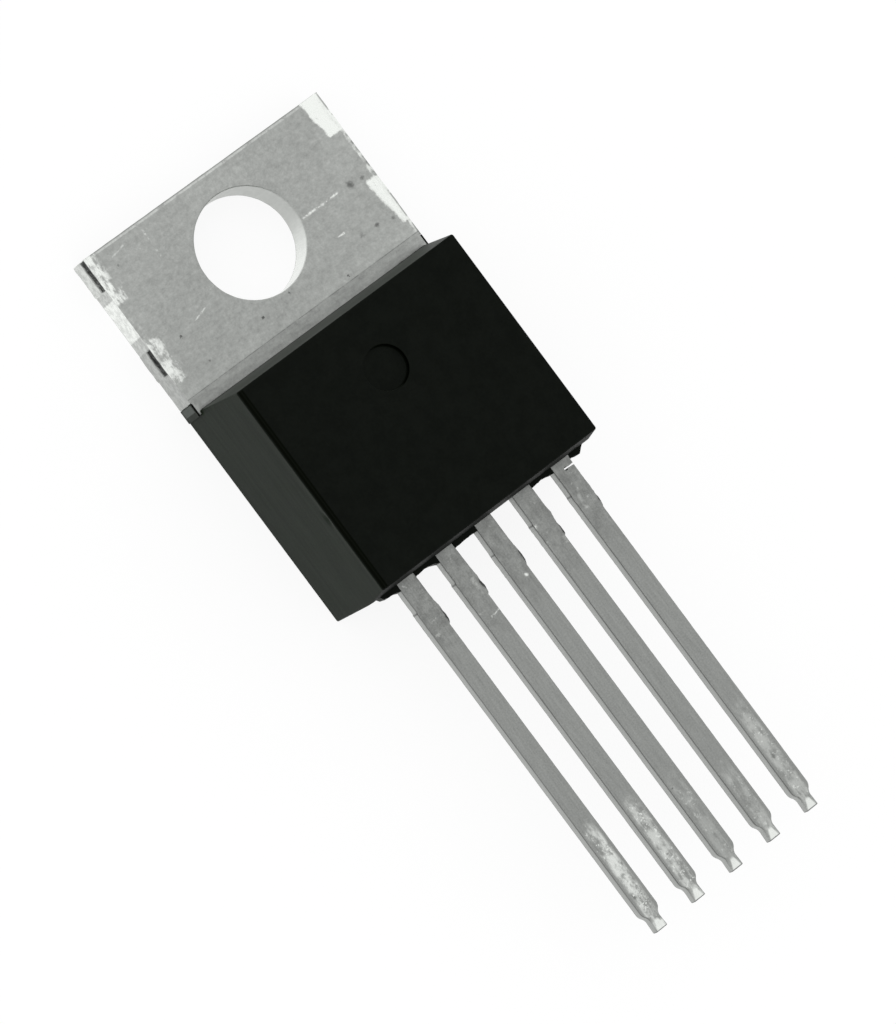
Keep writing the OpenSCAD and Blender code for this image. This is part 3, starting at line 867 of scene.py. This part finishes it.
class Graph:
    """The nodes of a material or a world. Lengths in it are in millimetres."""

    def __init__(self, owner):
        owner.use_nodes = True
        self.owner = owner
        self.tree = owner.node_tree
        self.tree.nodes.clear()
        self.position = None

    def put(self, socket, value):
        if isinstance(value, Value):
            self.tree.links.new(value.socket, socket)
        elif isinstance(value, tuple) and socket.type == "RGBA":
            socket.default_value = (*value[:3], 1.0)
        else:
            socket.default_value = value

    def add(self, kind, inputs, output=0, **settings):
        """Adds a node, and returns one of its outputs. Inputs and output go by name or number."""
        made = self.tree.nodes.new(kind)
        for key, value in settings.items():
            setattr(made, key, value)
        for key, value in inputs.items():
            self.put(made.inputs[key], value)
        return Value(self, made.outputs[output]) if len(made.outputs) else None

    def math(self, operation, *values):
        return self.add("ShaderNodeMath", dict(enumerate(values)), operation=operation)

    def most(self, first, *others):
        """The largest of the values."""
        for other in others:
            first = self.math("MAXIMUM", first, other)
        return first

    def mix(self, factor, a, b):
        """A colour between a and b."""
        return self.add("ShaderNodeMix", {0: factor, 6: a, 7: b}, 2, data_type="RGBA")

    def blend(self, factor, a, b):
        """A number between a and b."""
        return self.add("ShaderNodeMix", {0: factor, 2: a, 3: b}, data_type="FLOAT")

    def where(self, mask, factor):
        """The factor where the mask is 1, and 1 where it is 0."""
        return self.blend(mask, 1.0, factor)

    def place(self):
        """Position on the object."""
        if self.position is None:
            metres = self.add("ShaderNodeTexCoord", {}, "Object")
            self.position = self.add("ShaderNodeVectorMath", {0: metres, "Scale": 1 / MM}, operation="SCALE")
        return self.position

    def xyz(self, vector):
        """The three coordinates of a vector."""
        made = self.tree.nodes.new("ShaderNodeSeparateXYZ")
        self.put(made.inputs[0], vector)
        return [Value(self, output) for output in made.outputs]

    def normal(self):
        """The three coordinates of the surface's own direction."""
        return self.xyz(self.add("ShaderNodeNewGeometry", {}, "True Normal"))

    def stretch(self, x, y, z):
        """The position scaled along each axis."""
        return self.add("ShaderNodeMapping", {"Vector": self.place(), "Scale": (x, y, z)})

    def noise(self, scale, detail, rough, vector=None):
        """Noise between 0 and 1, with scale in features per millimetre."""
        inputs = {"Vector": vector or self.place(), "Scale": scale, "Detail": detail, "Roughness": rough}
        return self.add("ShaderNodeTexNoise", inputs, "Fac")

    def dot(self, vector, direction):
        return self.add("ShaderNodeVectorMath", {0: vector, 1: direction}, "Value", operation="DOT_PRODUCT")

    def near(self, point, vector):
        """Distance from a point."""
        return self.add("ShaderNodeVectorMath", {0: vector, 1: point}, "Value", operation="DISTANCE")

    def ramp(self, value, low, high):
        """0 at low, 1 at high, with eased ends."""
        inputs = {"Value": value, "From Min": low, "From Max": high}
        return self.add("ShaderNodeMapRange", inputs, interpolation_type="SMOOTHSTEP")

    def band(self, value, low, high, soft):
        """1 between low and high, fading over soft on either side."""
        half = soft / 2
        return self.ramp(value, low - half, low + half) * self.ramp(value, high + half, high - half)

    def steps(self, value, low, high, zones):
        """A number per zone: each zone is given by where it ends and its number."""
        stops = []
        start = low
        for end, number in zones:
            stops += [(start + ZONE_SOFT, number), (end - ZONE_SOFT, number)]
            start = end
        made = self.tree.nodes.new("ShaderNodeValToRGB")
        elements = made.color_ramp.elements
        while len(elements) < len(stops):
            elements.new(0.5)
        for element, (place, number) in zip(elements, stops):
            element.position = (place - low) / (high - low)
            element.color = (number, number, number, 1)
        self.put(made.inputs[0], self.math("DIVIDE", value - low, high - low))
        return Value(self, made.outputs["Color"])

    def bump(self, relief, depth, strength):
        """A bumped normal, for a relief given in units of depth."""
        return self.add("ShaderNodeBump", {"Height": relief, "Distance": depth * MM, "Strength": strength})

    def finish(self, shader):
        self.add("ShaderNodeOutputMaterial", {"Surface": shader})
        return self.owner

    def surface(self, colour, roughness, metallic, bump, **others):
        inputs = {"Base Color": colour, "Roughness": roughness, "Metallic": metallic, "Normal": bump, **others}
        return self.finish(self.add("ShaderNodeBsdfPrincipled", inputs))


# Burnished patches on the tab's face, painted brighter than the plating as a stand-in for the light they reflect: X
# and Y limits, slant of the ends, softness, strength, reflectance
BURNISH_SHEEN_PATCHES = (
    (-5.5, -4.6, 0.85, 2.85, 0.03, 0.6, 0.76, 1.0), (-5.5, -4.5, -2.4, -0.6, -0.06, 0.6, 0.66, 0.92),
    (4.38, 5.5, 1.25, 2.85, 0.1, 0.14, 1.15, 1.0), (4.66, 5.5, -2.5, -0.6, 0.17, 0.25, 1.1, 0.98),
    (4.88, 5.5, -3.0, 2.6, 0.0, 0.25, 0.6, 0.86), (-5.3, -4.8, -0.7, 0.9, 0.0, 0.4, 0.35, 0.8),
)
# Pits and stains on the tab's face: X, Y, radius, strength
SPOTS = (
    (4.07, -0.38, 0.15, 0.75), (4.58, -0.43, 0.1, 0.55), (3.35, -1.99, 0.1, 0.45), (3.99, -1.99, 0.09, 0.7),
    (4.61, -2.13, 0.07, 0.5), (-3.94, -1.15, 0.055, 0.9), (-1.22, -2.25, 0.06, 0.8), (0.03, -2.08, 0.055, 0.7),
    (2.08, -2.79, 0.055, 0.95), (-3.62, -2.35, 0.05, 0.5), (-4.2, 1.95, 0.04, 0.5), (-0.23, -22.74, 0.04, 0.6),
    (-3.46, -23.98, 0.11, 0.45), (-3.58, -24.8, 0.07, 0.5), (-1.75, -24.3, 0.07, 0.45), (3.32, -23.98, 0.1, 0.45),
)
# Scratches: both ends, half width, reflectance
SCRATCHES = (
    (2.0, -0.36, 3.55, -0.37, 0.03, 0.9), (2.58, -1.56, 2.89, -1.57, 0.022, 0.9),
    (-2.79, 2.45, -2.8, 1.38, 0.022, 0.75), (-3.29, -1.03, -2.64, -0.85, 0.02, 0.7),
    (-4.37, 2.25, -3.46, 2.44, 0.02, 0.62), (-2.7, -0.6, -1.91, -0.41, 0.018, 0.55),
    (-3.25, 2.0, -3.2, 1.8, 0.03, 0.6), (-1.74, -14.64, -1.36, -14.56, 0.025, 0.9),
    (0.1, -14.26, 0.16, -14.18, 0.05, 0.85), (1.36, -13.24, 1.38, -13.1, 0.05, 0.75),
    (1.97, -14.2, 2.02, -13.95, 0.06, 0.55), (-1.5, -13.9, -1.47, -13.2, 0.06, 0.48),
    (3.25, -13.7, 3.3, -12.9, 0.06, 0.48), (0.02, -12.2, 0.25, -12.25, 0.04, 0.5),
)
# The tab's left side from its lower end up: Y where each zone ends, reflectance
SIDE_ZONES = ((-3.0, 0.45), (-1.92, 0.45), (-0.87, 0.47), (-0.37, 0.57), (1.13, 0.88), (1.51, 0.57), (3.0, 0.68))
ZONE_SOFT = 0.015
# Where the scuffed stretch of each lead starts, and how strong it is
SCUFFS = (
    (GATE, -22.2, 1.0), (SENSE, -22.3, 0.72), (DRAIN, -22.5, 0.22), (KELVIN, -23.4, 0.36), (SOURCE, -22.1, 0.42),
)
CLAMP_LINE = JOINT_Y + 0.49
LOWER_TIE_Y = TOP_Y - LOWER_TIE_FROM_TOP
# Plain reflectance of the tab, of the leads near the moulding and of the rest of them
TAB_LEVEL, ROOT_LEVEL, LEAD_LEVEL = 0.42, 0.29, 0.314
BLACK = (0.0, 0.0, 0.0)


def metal_material():
    """Tin plating: satin faces, burnished patches with painted reflection, scuffed patches, streaks along the
    leads, painted light on the hole's wall and a painted highlight on the tab's upper edge.
    """
    g = Graph(bpy.data.materials.new("tinned_copper"))
    x, y, z = g.xyz(g.place())
    nx, ny, nz = g.normal()
    flat = g.stretch(1, 1, 0)
    tab = g.ramp(y, JOINT_Y - 0.1, JOINT_Y + 0.05)
    lead = 1.0 - tab
    front = g.ramp(nz, 0.75, 0.95)
    tab_front = tab * front
    left = g.ramp(nx, -0.5, -0.8)
    right = g.ramp(nx, 0.5, 0.8)
    fine = g.noise(17, 2, 0.6)
    grain = g.noise(9, 3, 0.7)
    mottle = g.noise(2.6, 5, 0.75)
    streak = g.noise(1, 4, 0.65, g.stretch(13, 0.9, 13))
    brushed = g.noise(1, 3, 0.6, g.stretch(2.0, 9, 9))
    wander = (g.noise(1.6, 4, 0.7) - 0.5) * 0.25

    # Even reflectance of the tab and of the leads
    of_tab = (grain - 0.5) * 0.2 + (g.noise(0.4, 2, 0.5) - 0.5) * 0.1 + (fine - 0.5) * 0.13 + TAB_LEVEL
    of_tab += (brushed - 0.5) * 0.1 + (g.noise(4.2, 3, 0.6) - 0.5) * 0.17
    of_lead = g.blend(g.ramp(y, -13.5, -16.0), ROOT_LEVEL, LEAD_LEVEL) + (streak - 0.5) * 0.14 + (fine - 0.5) * 0.16
    level = g.blend(tab, of_lead, of_tab)

    # The mould's clamping line across the tab, duller below it and lighter just above it
    below = tab_front * g.ramp(y, CLAMP_LINE + 0.03, CLAMP_LINE - 0.03)
    level *= g.where(below, brushed * 0.24 + 0.82)
    line = tab_front * g.band(y, CLAMP_LINE - 0.012, CLAMP_LINE + 0.012, 0.02) * g.ramp(mottle, 0.3, 0.6)
    level *= g.where(line, 0.6)
    above = g.ramp(y + wander, CLAMP_LINE + 0.75, CLAMP_LINE + 0.05) * g.ramp(y, CLAMP_LINE, CLAMP_LINE + 0.05)
    level *= g.where(tab_front * above, 1.13)
    # The tab's upper edge: a painted highlight along the rolled-over edge, and a darker round
    lip_highlight = tab_front * g.band(y, TOP_Y - 0.12, TOP_Y - 0.05, 0.03) * g.ramp(mottle, 0.35, 0.5)
    level *= g.where(lip_highlight, 1.4)
    level *= g.where(tab_front * g.ramp(y, TOP_Y - 0.04, TOP_Y - 0.02), 0.72)

    # Burnished patches, rubbed through in a mottled way, painted brighter as a stand-in for their reflection
    rag = mottle * 1.4 + g.noise(1, 3, 0.7, g.stretch(7, 2.4, 7)) * 1.8 - 1.6
    shine = fine * 0.14 + g.noise(4, 3, 0.7) * 0.14 + 0.86
    for x0, x1, y0, y1, slant, soft, strength, value in BURNISH_SHEEN_PATCHES:
        across = x + wander + (y - (y0 + y1) / 2) * slant
        inside = g.band(across, x0, x1, soft) * g.band(y + wander * 0.3, y0, y1, min(soft, 0.2))
        worn_with_sheen = g.ramp(inside * strength + rag, 0.35, 0.95)
        level = g.blend(worn_with_sheen * inside * tab_front, level, shine * value)

    # Scratches, broken up along their length
    broken = g.ramp(g.noise(3.6, 3, 0.7), 0.4, 0.6)
    ragged = (g.noise(5.5, 3, 0.65) - 0.5) * 0.14
    for x0, y0, x1, y1, half, value in SCRATCHES:
        length = math.hypot(x1 - x0, y1 - y0)
        ux, uy = (x1 - x0) / length, (y1 - y0) / length
        along = g.dot(flat, (ux, uy, 0)) - (ux * x0 + uy * y0)
        across = abs(g.dot(flat, (-uy, ux, 0)) - (ux * y0 - uy * x0)) + ragged
        mark = g.band(along, 0, length, 0.06) * g.ramp(across, half * 2.1, 0) * front * broken
        level = g.blend(mark, level, value)

    # The tab's sides, the left one zone by zone, and the dark broken edge of the tie stubs: a rough fracture zone,
    # darkened further with painted shade of its recess
    scuffed = g.blend(g.ramp(g.noise(5, 3, 0.7), 0.38, 0.62), 0.82, 1.06)
    on_left = tab * left * g.ramp(x, -4.9, -5.0)
    on_right = tab * right * g.ramp(x, 4.9, 5.0)
    level = g.blend(on_left, level, g.steps(y + (mottle - 0.5) * 0.06, -4.0, 3.0, SIDE_ZONES) * scuffed)
    level = g.blend(on_right, level, scuffed * 0.46)
    stubs = g.most(
        g.band(y, TOP_Y - UPPER_TIE_LEN + 0.02, TOP_Y - 0.03, 0.03),
        g.band(y, LOWER_TIE_Y - LOWER_TIE_LEN + 0.02, LOWER_TIE_Y - 0.03, 0.03),
    )
    # Painted shade in the tie stubs' recessed fracture zone, over its own darker colour
    torn_and_shaded = stubs * tab * g.most(on_left, on_right) * g.ramp(z, TIE_T - 0.06, TIE_T + 0.03)
    level *= g.where(torn_and_shaded, g.ramp(g.noise(4, 3, 0.7), 0.45, 0.75) * 0.3 + 0.07)

    # The punched wall of the hole, painted brighter where it faces towards the tab's top edge: painted light
    wall = tab * g.ramp(g.near((0, 0, 0), flat), HOLE_D / 2 + 0.13, HOLE_D / 2 + 0.05) * g.ramp(nz, 0.9, 0.6)
    wall_tone_with_painted_light = g.ramp(ny, -0.1, 0.9) * 0.35 + g.noise(1, 2, 0.6, g.stretch(6, 6, 2)) * 0.12 + 0.455
    level = g.blend(wall, level, wall_tone_with_painted_light)

    # Leads: mottled roots, and lighter sides with a dark line under the front edge
    root = lead * g.ramp(y, MOULD_END_Y - 4.2, MOULD_END_Y - 1.5)
    level *= g.where(root, g.ramp(mottle, 0.25, 0.75) * 0.46 + 0.74)
    level = g.blend(root * front * g.ramp(g.noise(4, 3, 0.65), 0.63, 0.72), level, 0.46)
    of_side = g.blend(g.ramp(z, LEAD_TOP_Z - 0.13, LEAD_TOP_Z - 0.05), 0.39, 0.17)
    of_side = g.blend(g.ramp(z, LEAD_Z + 0.1, LEAD_Z + 0.02), of_side, 0.3)
    level = g.blend(lead * left, level, of_side + (streak - 0.5) * 0.16)

    # Scuffed lower stretches
    blotch = g.ramp(g.noise(1.7, 4, 0.7, g.stretch(1.6, 1, 1)) * 0.8 + streak * 0.2, 0.38, 0.6)
    flecks = g.ramp(g.noise(8, 2, 0.6), 0.6, 0.68)
    for place, start, strength in SCUFFS:
        middle = g.ramp(abs(x - (place * PITCH - 0.02)), 0.3, 0.16)
        here = middle * g.ramp(y + (mottle - 0.5) * 1.2, start + 0.5, start - 0.5) * front
        level = g.blend(here * blotch * strength, level, 0.8)
        level = g.blend(here * flecks * min(0.9, strength * 1.3), level, 0.85)

    # Bright tips, by how far right of its lead's middle and how far down the tip a point is
    offset = (g.math("FRACT", x * (1 / PITCH) + 10.5) - 0.5) * PITCH
    reach = TIP_Y + TIP_LEN - y
    tip = g.ramp(abs(offset) - reach * 0.3, 0.09, 0.02) * g.ramp(reach, -0.02, 0.12)
    tip *= g.ramp(y, TIP_Y + 0.02, TIP_Y + 0.06) * g.ramp(nz, 0.3, 0.6)
    level = g.blend(tip * (mottle * 0.4 + 0.7), level, 0.92)
    # The cut dam bar: its dark edge on the right of each lead, and where it starts on the left
    dam = lead * g.band(y, MOULD_END_Y - 2.12, MOULD_END_Y - 1.5, 0.2) * g.ramp(offset + wander, 0.35, 0.4)
    level *= g.where(dam * g.ramp(z, LEAD_Z, LEAD_TOP_Z), 0.25)
    level *= g.where(lead * left * g.band(y, MOULD_END_Y - 1.2, MOULD_END_Y - 1.14, 0.03), 0.45)

    wobble = (grain - 0.5) * 0.12 + (fine - 0.5) * 0.1
    for x0, y0, r, strength in SPOTS:
        spot = g.ramp(g.near((x0, y0, 0), flat) + wobble, r * 1.25, r * 0.2)
        level *= g.where(spot * front, 1 - 0.8 * strength)

    # Dark right rim of the tab and dark cut ends of the leads
    rim = tab_front * g.ramp(x, 5.0, 5.05) * g.ramp(g.noise(1.5, 3, 0.7), 0.45, 0.55)
    level *= g.where(rim, 0.45)
    level *= g.where(lead * g.ramp(y, TIP_Y + 0.045, TIP_Y + 0.015), 0.4)
    level = g.most(level, 0.02)
    colour = g.mix(level, BLACK, (0.972, 1.0, 0.962))
    roughness = g.blend(g.ramp(level, 0.45, 0.85), 0.42, 0.26) + (mottle - 0.5) * 0.12
    relief = grain * 0.6 + mottle * 0.5 + streak * lead * 0.5
    return g.surface(colour, roughness, 1.0, g.bump(relief, 0.004, 0.35))


def resin_material():
    """Black moulding resin: matt faces with a faint mottle, lengthwise marks on the drafted sides, painted
    reflection on the sides and upper end, and painted shade at a few edges and hollows.
    """
    g = Graph(bpy.data.materials.new("mould_resin"))
    x, y, z = g.xyz(g.place())
    nx, ny, nz = g.normal()
    grain = g.noise(13, 4, 0.65)
    mottle = g.noise(1.6, 5, 0.7)
    lengthwise = g.noise(1, 3, 0.6, g.stretch(5, 0.35, 5))
    level = g.ramp(grain, 0.3, 0.7) * 0.0012 + g.ramp(mottle, 0.35, 0.65) * 0.0016 + 0.0002
    colour = g.mix(level, BLACK, (0.86, 1.0, 0.82))

    # Painted reflection of the bright surroundings: faces that look sideways or up the moulding are painted greyer,
    # the sides with lengthwise marks and grain in it. The skin on the tab's edges is greyer too
    sideways = g.ramp(nz, 0.6, 0.4)
    flank_sheen = g.ramp(abs(nx), 0.5, 0.75) * sideways
    flank_sheen_colour = lengthwise * 1.2 + grain * 0.9 + mottle * 0.7 - 0.9
    colour = g.mix(flank_sheen, colour, g.mix(flank_sheen_colour, (0.001, 0.003, 0.001), (0.0125, 0.0175, 0.0115)))
    # Painted reflection on the upper end, lighter low down
    upper = g.ramp(ny, 0.5, 0.75) * g.ramp(z, TAB_T + 0.12, TAB_T + 0.4) * sideways
    upper_sheen_colour = g.mix(g.ramp(z, TAB_T + 0.4, TAB_T + 2.4), (0.044, 0.05, 0.043), (0.022, 0.027, 0.0215))
    colour = g.mix(upper, colour, upper_sheen_colour)
    on_skin = g.band(y - JOINT_Y, 0.04, SKIN_LEN - 0.05, 0.03) * g.band(z, 0.1, TAB_T - 0.1, 0.06)
    colour = g.mix(on_skin, colour, g.mix(grain, (0.05, 0.058, 0.052), (0.1, 0.11, 0.102)))

    # Painted shade, given as a near-black metallic surface: the front face's left rim, where its round edge looks
    # dark, the pin mark's wall and the crevice by the tab's corner
    edge = x + mould_limits(MOULD_H)[0]
    rim = g.ramp(nz, 0.9, 0.99) * g.ramp(edge, 0.25, 0.22)
    pin = g.near((0.0, JOINT_Y - PIN_MARK_FROM_TAB, 0.0), g.stretch(1, 1, 0))
    wall = g.band(pin, PIN_MARK_R - 0.05, PIN_MARK_R + 0.02, 0.02) * g.ramp(x, -0.2, 0.3)
    wall *= g.ramp(z, MOULD_H - 0.4, MOULD_H - 0.3)
    crevice_shade = g.ramp(g.near((-5.0, JOINT_Y - 0.1, TAB_T + 0.08), g.place()), 0.14, 0.1)
    painted_shade = g.most(rim, wall, crevice_shade)
    painted_shade_colour = g.mix(g.band(edge, 0.13, 0.17, 0.03), (0.0032, 0.004, 0.0026), (0.0056, 0.0066, 0.0048))
    colour = g.mix(painted_shade, colour, painted_shade_colour)
    roughness = (mottle - 0.5) * 0.12 + g.ramp(ny, -0.9, -0.97) * 0.12 + 0.5
    relief = grain * 0.7 + mottle * 0.5 + lengthwise * 0.4
    specular = {"Specular IOR Level": 0.085, "Specular Tint": (0.85, 1.0, 0.82)}
    # Metallic only where shade is painted, to darken those places
    return g.surface(colour, roughness, painted_shade, g.bump(relief, 0.006, 0.45), **specular)


def silicon_material():
    g = Graph(bpy.data.materials.new("silicon"))
    grain = g.noise(5, 2, 0.5)
    colour = g.mix(grain, srgb(88, 92, 108), srgb(112, 116, 132))
    return g.surface(colour, 0.3, 0.6, g.bump(grain, 0.002, 0.4))


def solder_material():
    g = Graph(bpy.data.materials.new("solder"))
    grain = g.noise(7, 3, 0.6)
    colour = g.mix(grain, srgb(150, 152, 156), srgb(186, 188, 192))
    return g.surface(colour, g.blend(grain, 0.35, 0.5), 1.0, g.bump(grain, 0.006, 0.6))


def wire_material():
    g = Graph(bpy.data.materials.new("bond_wire"))
    grain = g.noise(1, 2, 0.5, g.stretch(30, 6, 30))
    colour = g.mix(grain, srgb(205, 207, 210), srgb(228, 230, 232))
    return g.surface(colour, g.blend(grain, 0.28, 0.42), 1.0, g.bump(grain, 0.002, 0.5))


# ---- Pieces ----

def finish_piece(obj, name, node, material):
    obj.name = name
    obj.data.name = name
    coat(obj, material)
    shade(obj)
    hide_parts(node)
    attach(obj, "root")


def coat(obj, material):
    obj.data.materials.clear()
    obj.data.materials.append(material)


WIRES = ("gate_wire", "sense_wire", "kelvin_wire", "source_wire_1", "source_wire_2")
SIGNAL_LEADS = {"gate": GATE, "sense": SENSE, "kelvin": KELVIN, "source": SOURCE}

leads = {name: stack(name, post_rings(n) + straight_rings(n)) for name, n in SIGNAL_LEADS.items()}
cut_nick(leads["source"])
drain = drain_piece()
inner = [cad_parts[name] for name in ("die_solder", "die") + WIRES]
mould = mould_piece([drain] + list(leads.values()), inner)

metal = metal_material()
finish_piece(drain, "drain_frame_plated", "drain_frame", metal)
for lead_name, lead in leads.items():
    finish_piece(lead, f"{lead_name}_lead_plated", f"{lead_name}_lead", metal)
finish_piece(mould, "mould_body_moulded", "mould_body", resin_material())

coat(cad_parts["die"], silicon_material())
coat(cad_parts["die_solder"], solder_material())
aluminium = wire_material()
for wire_name in WIRES:
    coat(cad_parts[wire_name], aluminium)


# ---- Floor, light and camera ----

TABLE_HALF = 260.0
TABLE_CELLS = 8
# How bright the table looks to the camera, and how much of its own shading that replaces
TABLE_GLOW = 1.03
TABLE_GLOW_SHARE = 0.85
HORIZON_LIGHT = 1.0
ZENITH_LIGHT = 0.9
SOFTBOX_AT = (-160.0, 90.0, 150.0)
SOFTBOX_AIM = (0.0, -12.0, 1.0)
SOFTBOX_SIDE = 160.0
SOFTBOX_POWER = 0.012

# The camera's angles, what lies at AIM_Y seen from it, and its focal length in pixels
CAMERA_YAW = math.radians(-20.3103)
CAMERA_PITCH = math.radians(1.5797)
CAMERA_ROLL = math.radians(-36.6031)
CAMERA_OFFSET = (-0.079, 0.5161, 206.1474)
AIM_Y = JOINT_Y - 8.0
FOCAL_PIXELS = 6174.4432
IMAGE_HEIGHT = 1024


def floor_material():
    """A pale table that looks white and still takes the part's shadow."""
    g = Graph(bpy.data.materials.new("table"))
    rays = ("Is Camera Ray", "Is Glossy Ray", "Is Transmission Ray")
    seen = g.most(*(g.add("ShaderNodeLightPath", {}, ray) for ray in rays))
    grain = g.noise(0.2, 2, 0.5)
    diffuse = g.add("ShaderNodeBsdfDiffuse", {"Color": g.mix(grain, (0.9, 0.9, 0.9), (0.93, 0.93, 0.93))})
    glow = g.add("ShaderNodeEmission", {"Strength": TABLE_GLOW})
    return g.finish(g.add("ShaderNodeMixShader", {0: seen * TABLE_GLOW_SHARE, 1: diffuse, 2: glow}))


def table_top():
    step = 2 * TABLE_HALF / TABLE_CELLS
    row = TABLE_CELLS + 1
    points = [(step * i - TABLE_HALF, step * j - TABLE_HALF - 12, 0.0) for j in range(row) for i in range(row)]
    corners = [j * row + i for j in range(TABLE_CELLS) for i in range(TABLE_CELLS)]
    table = make_object("table_top", points, [(a, a + 1, a + row + 1, a + row) for a in corners])
    coat(table, floor_material())


def set_world():
    """Soft light from all round, dimmer overhead."""
    world = bpy.data.worlds.new("studio")
    bpy.context.scene.world = world
    g = Graph(world)
    height = g.xyz(g.add("ShaderNodeTexCoord", {}, "Generated"))[2]
    light = {"Value": height, "From Min": 0.3, "From Max": 1.0, "To Min": HORIZON_LIGHT, "To Max": ZENITH_LIGHT}
    sky = {"Color": (1.0, 1.0, 1.0), "Strength": g.add("ShaderNodeMapRange", light)}
    g.add("ShaderNodeOutputWorld", {"Surface": g.add("ShaderNodeBackground", sky)})


def softbox():
    light = bpy.data.lights.new("key", "AREA")
    light.shape = "RECTANGLE"
    light.size = light.size_y = SOFTBOX_SIDE * MM
    light.energy = SOFTBOX_POWER
    obj = place_object("key", light)
    obj.location = Vector(SOFTBOX_AT) * MM
    obj.rotation_mode = "QUATERNION"
    obj.rotation_quaternion = (Vector(SOFTBOX_AT) - Vector(SOFTBOX_AIM)).to_track_quat("Z", "Y")


def rotation(angle, first, second):
    """A turn by an angle from the first axis towards the second."""
    matrix = np.eye(3)
    matrix[first, first] = matrix[second, second] = math.cos(angle)
    matrix[second, first] = math.sin(angle)
    matrix[first, second] = -math.sin(angle)
    return matrix


def set_camera():
    # Rows: right, down and forward of the camera
    axes = rotation(CAMERA_ROLL, 0, 1) @ rotation(CAMERA_PITCH, 1, 2) @ rotation(CAMERA_YAW, 2, 0)
    axes = axes @ np.diag([1.0, -1.0, -1.0])
    place = np.array([0.0, AIM_Y, 0.0]) - axes.T @ np.array(CAMERA_OFFSET)
    turned = Matrix((axes[0], -axes[1], -axes[2])).transposed()
    camera = bpy.data.cameras.new("camera")
    camera.sensor_width = 36.0
    camera.lens = FOCAL_PIXELS / IMAGE_HEIGHT * camera.sensor_width
    camera.clip_start = 0.01
    camera.clip_end = 10.0
    obj = place_object("camera", camera)
    obj.matrix_world = Matrix.Translation(Vector(place) * MM) @ turned.to_4x4()
    bpy.context.scene.camera = obj


table_top()
set_world()
softbox()
set_camera()
bpy.context.scene.view_settings.view_transform = "Standard"
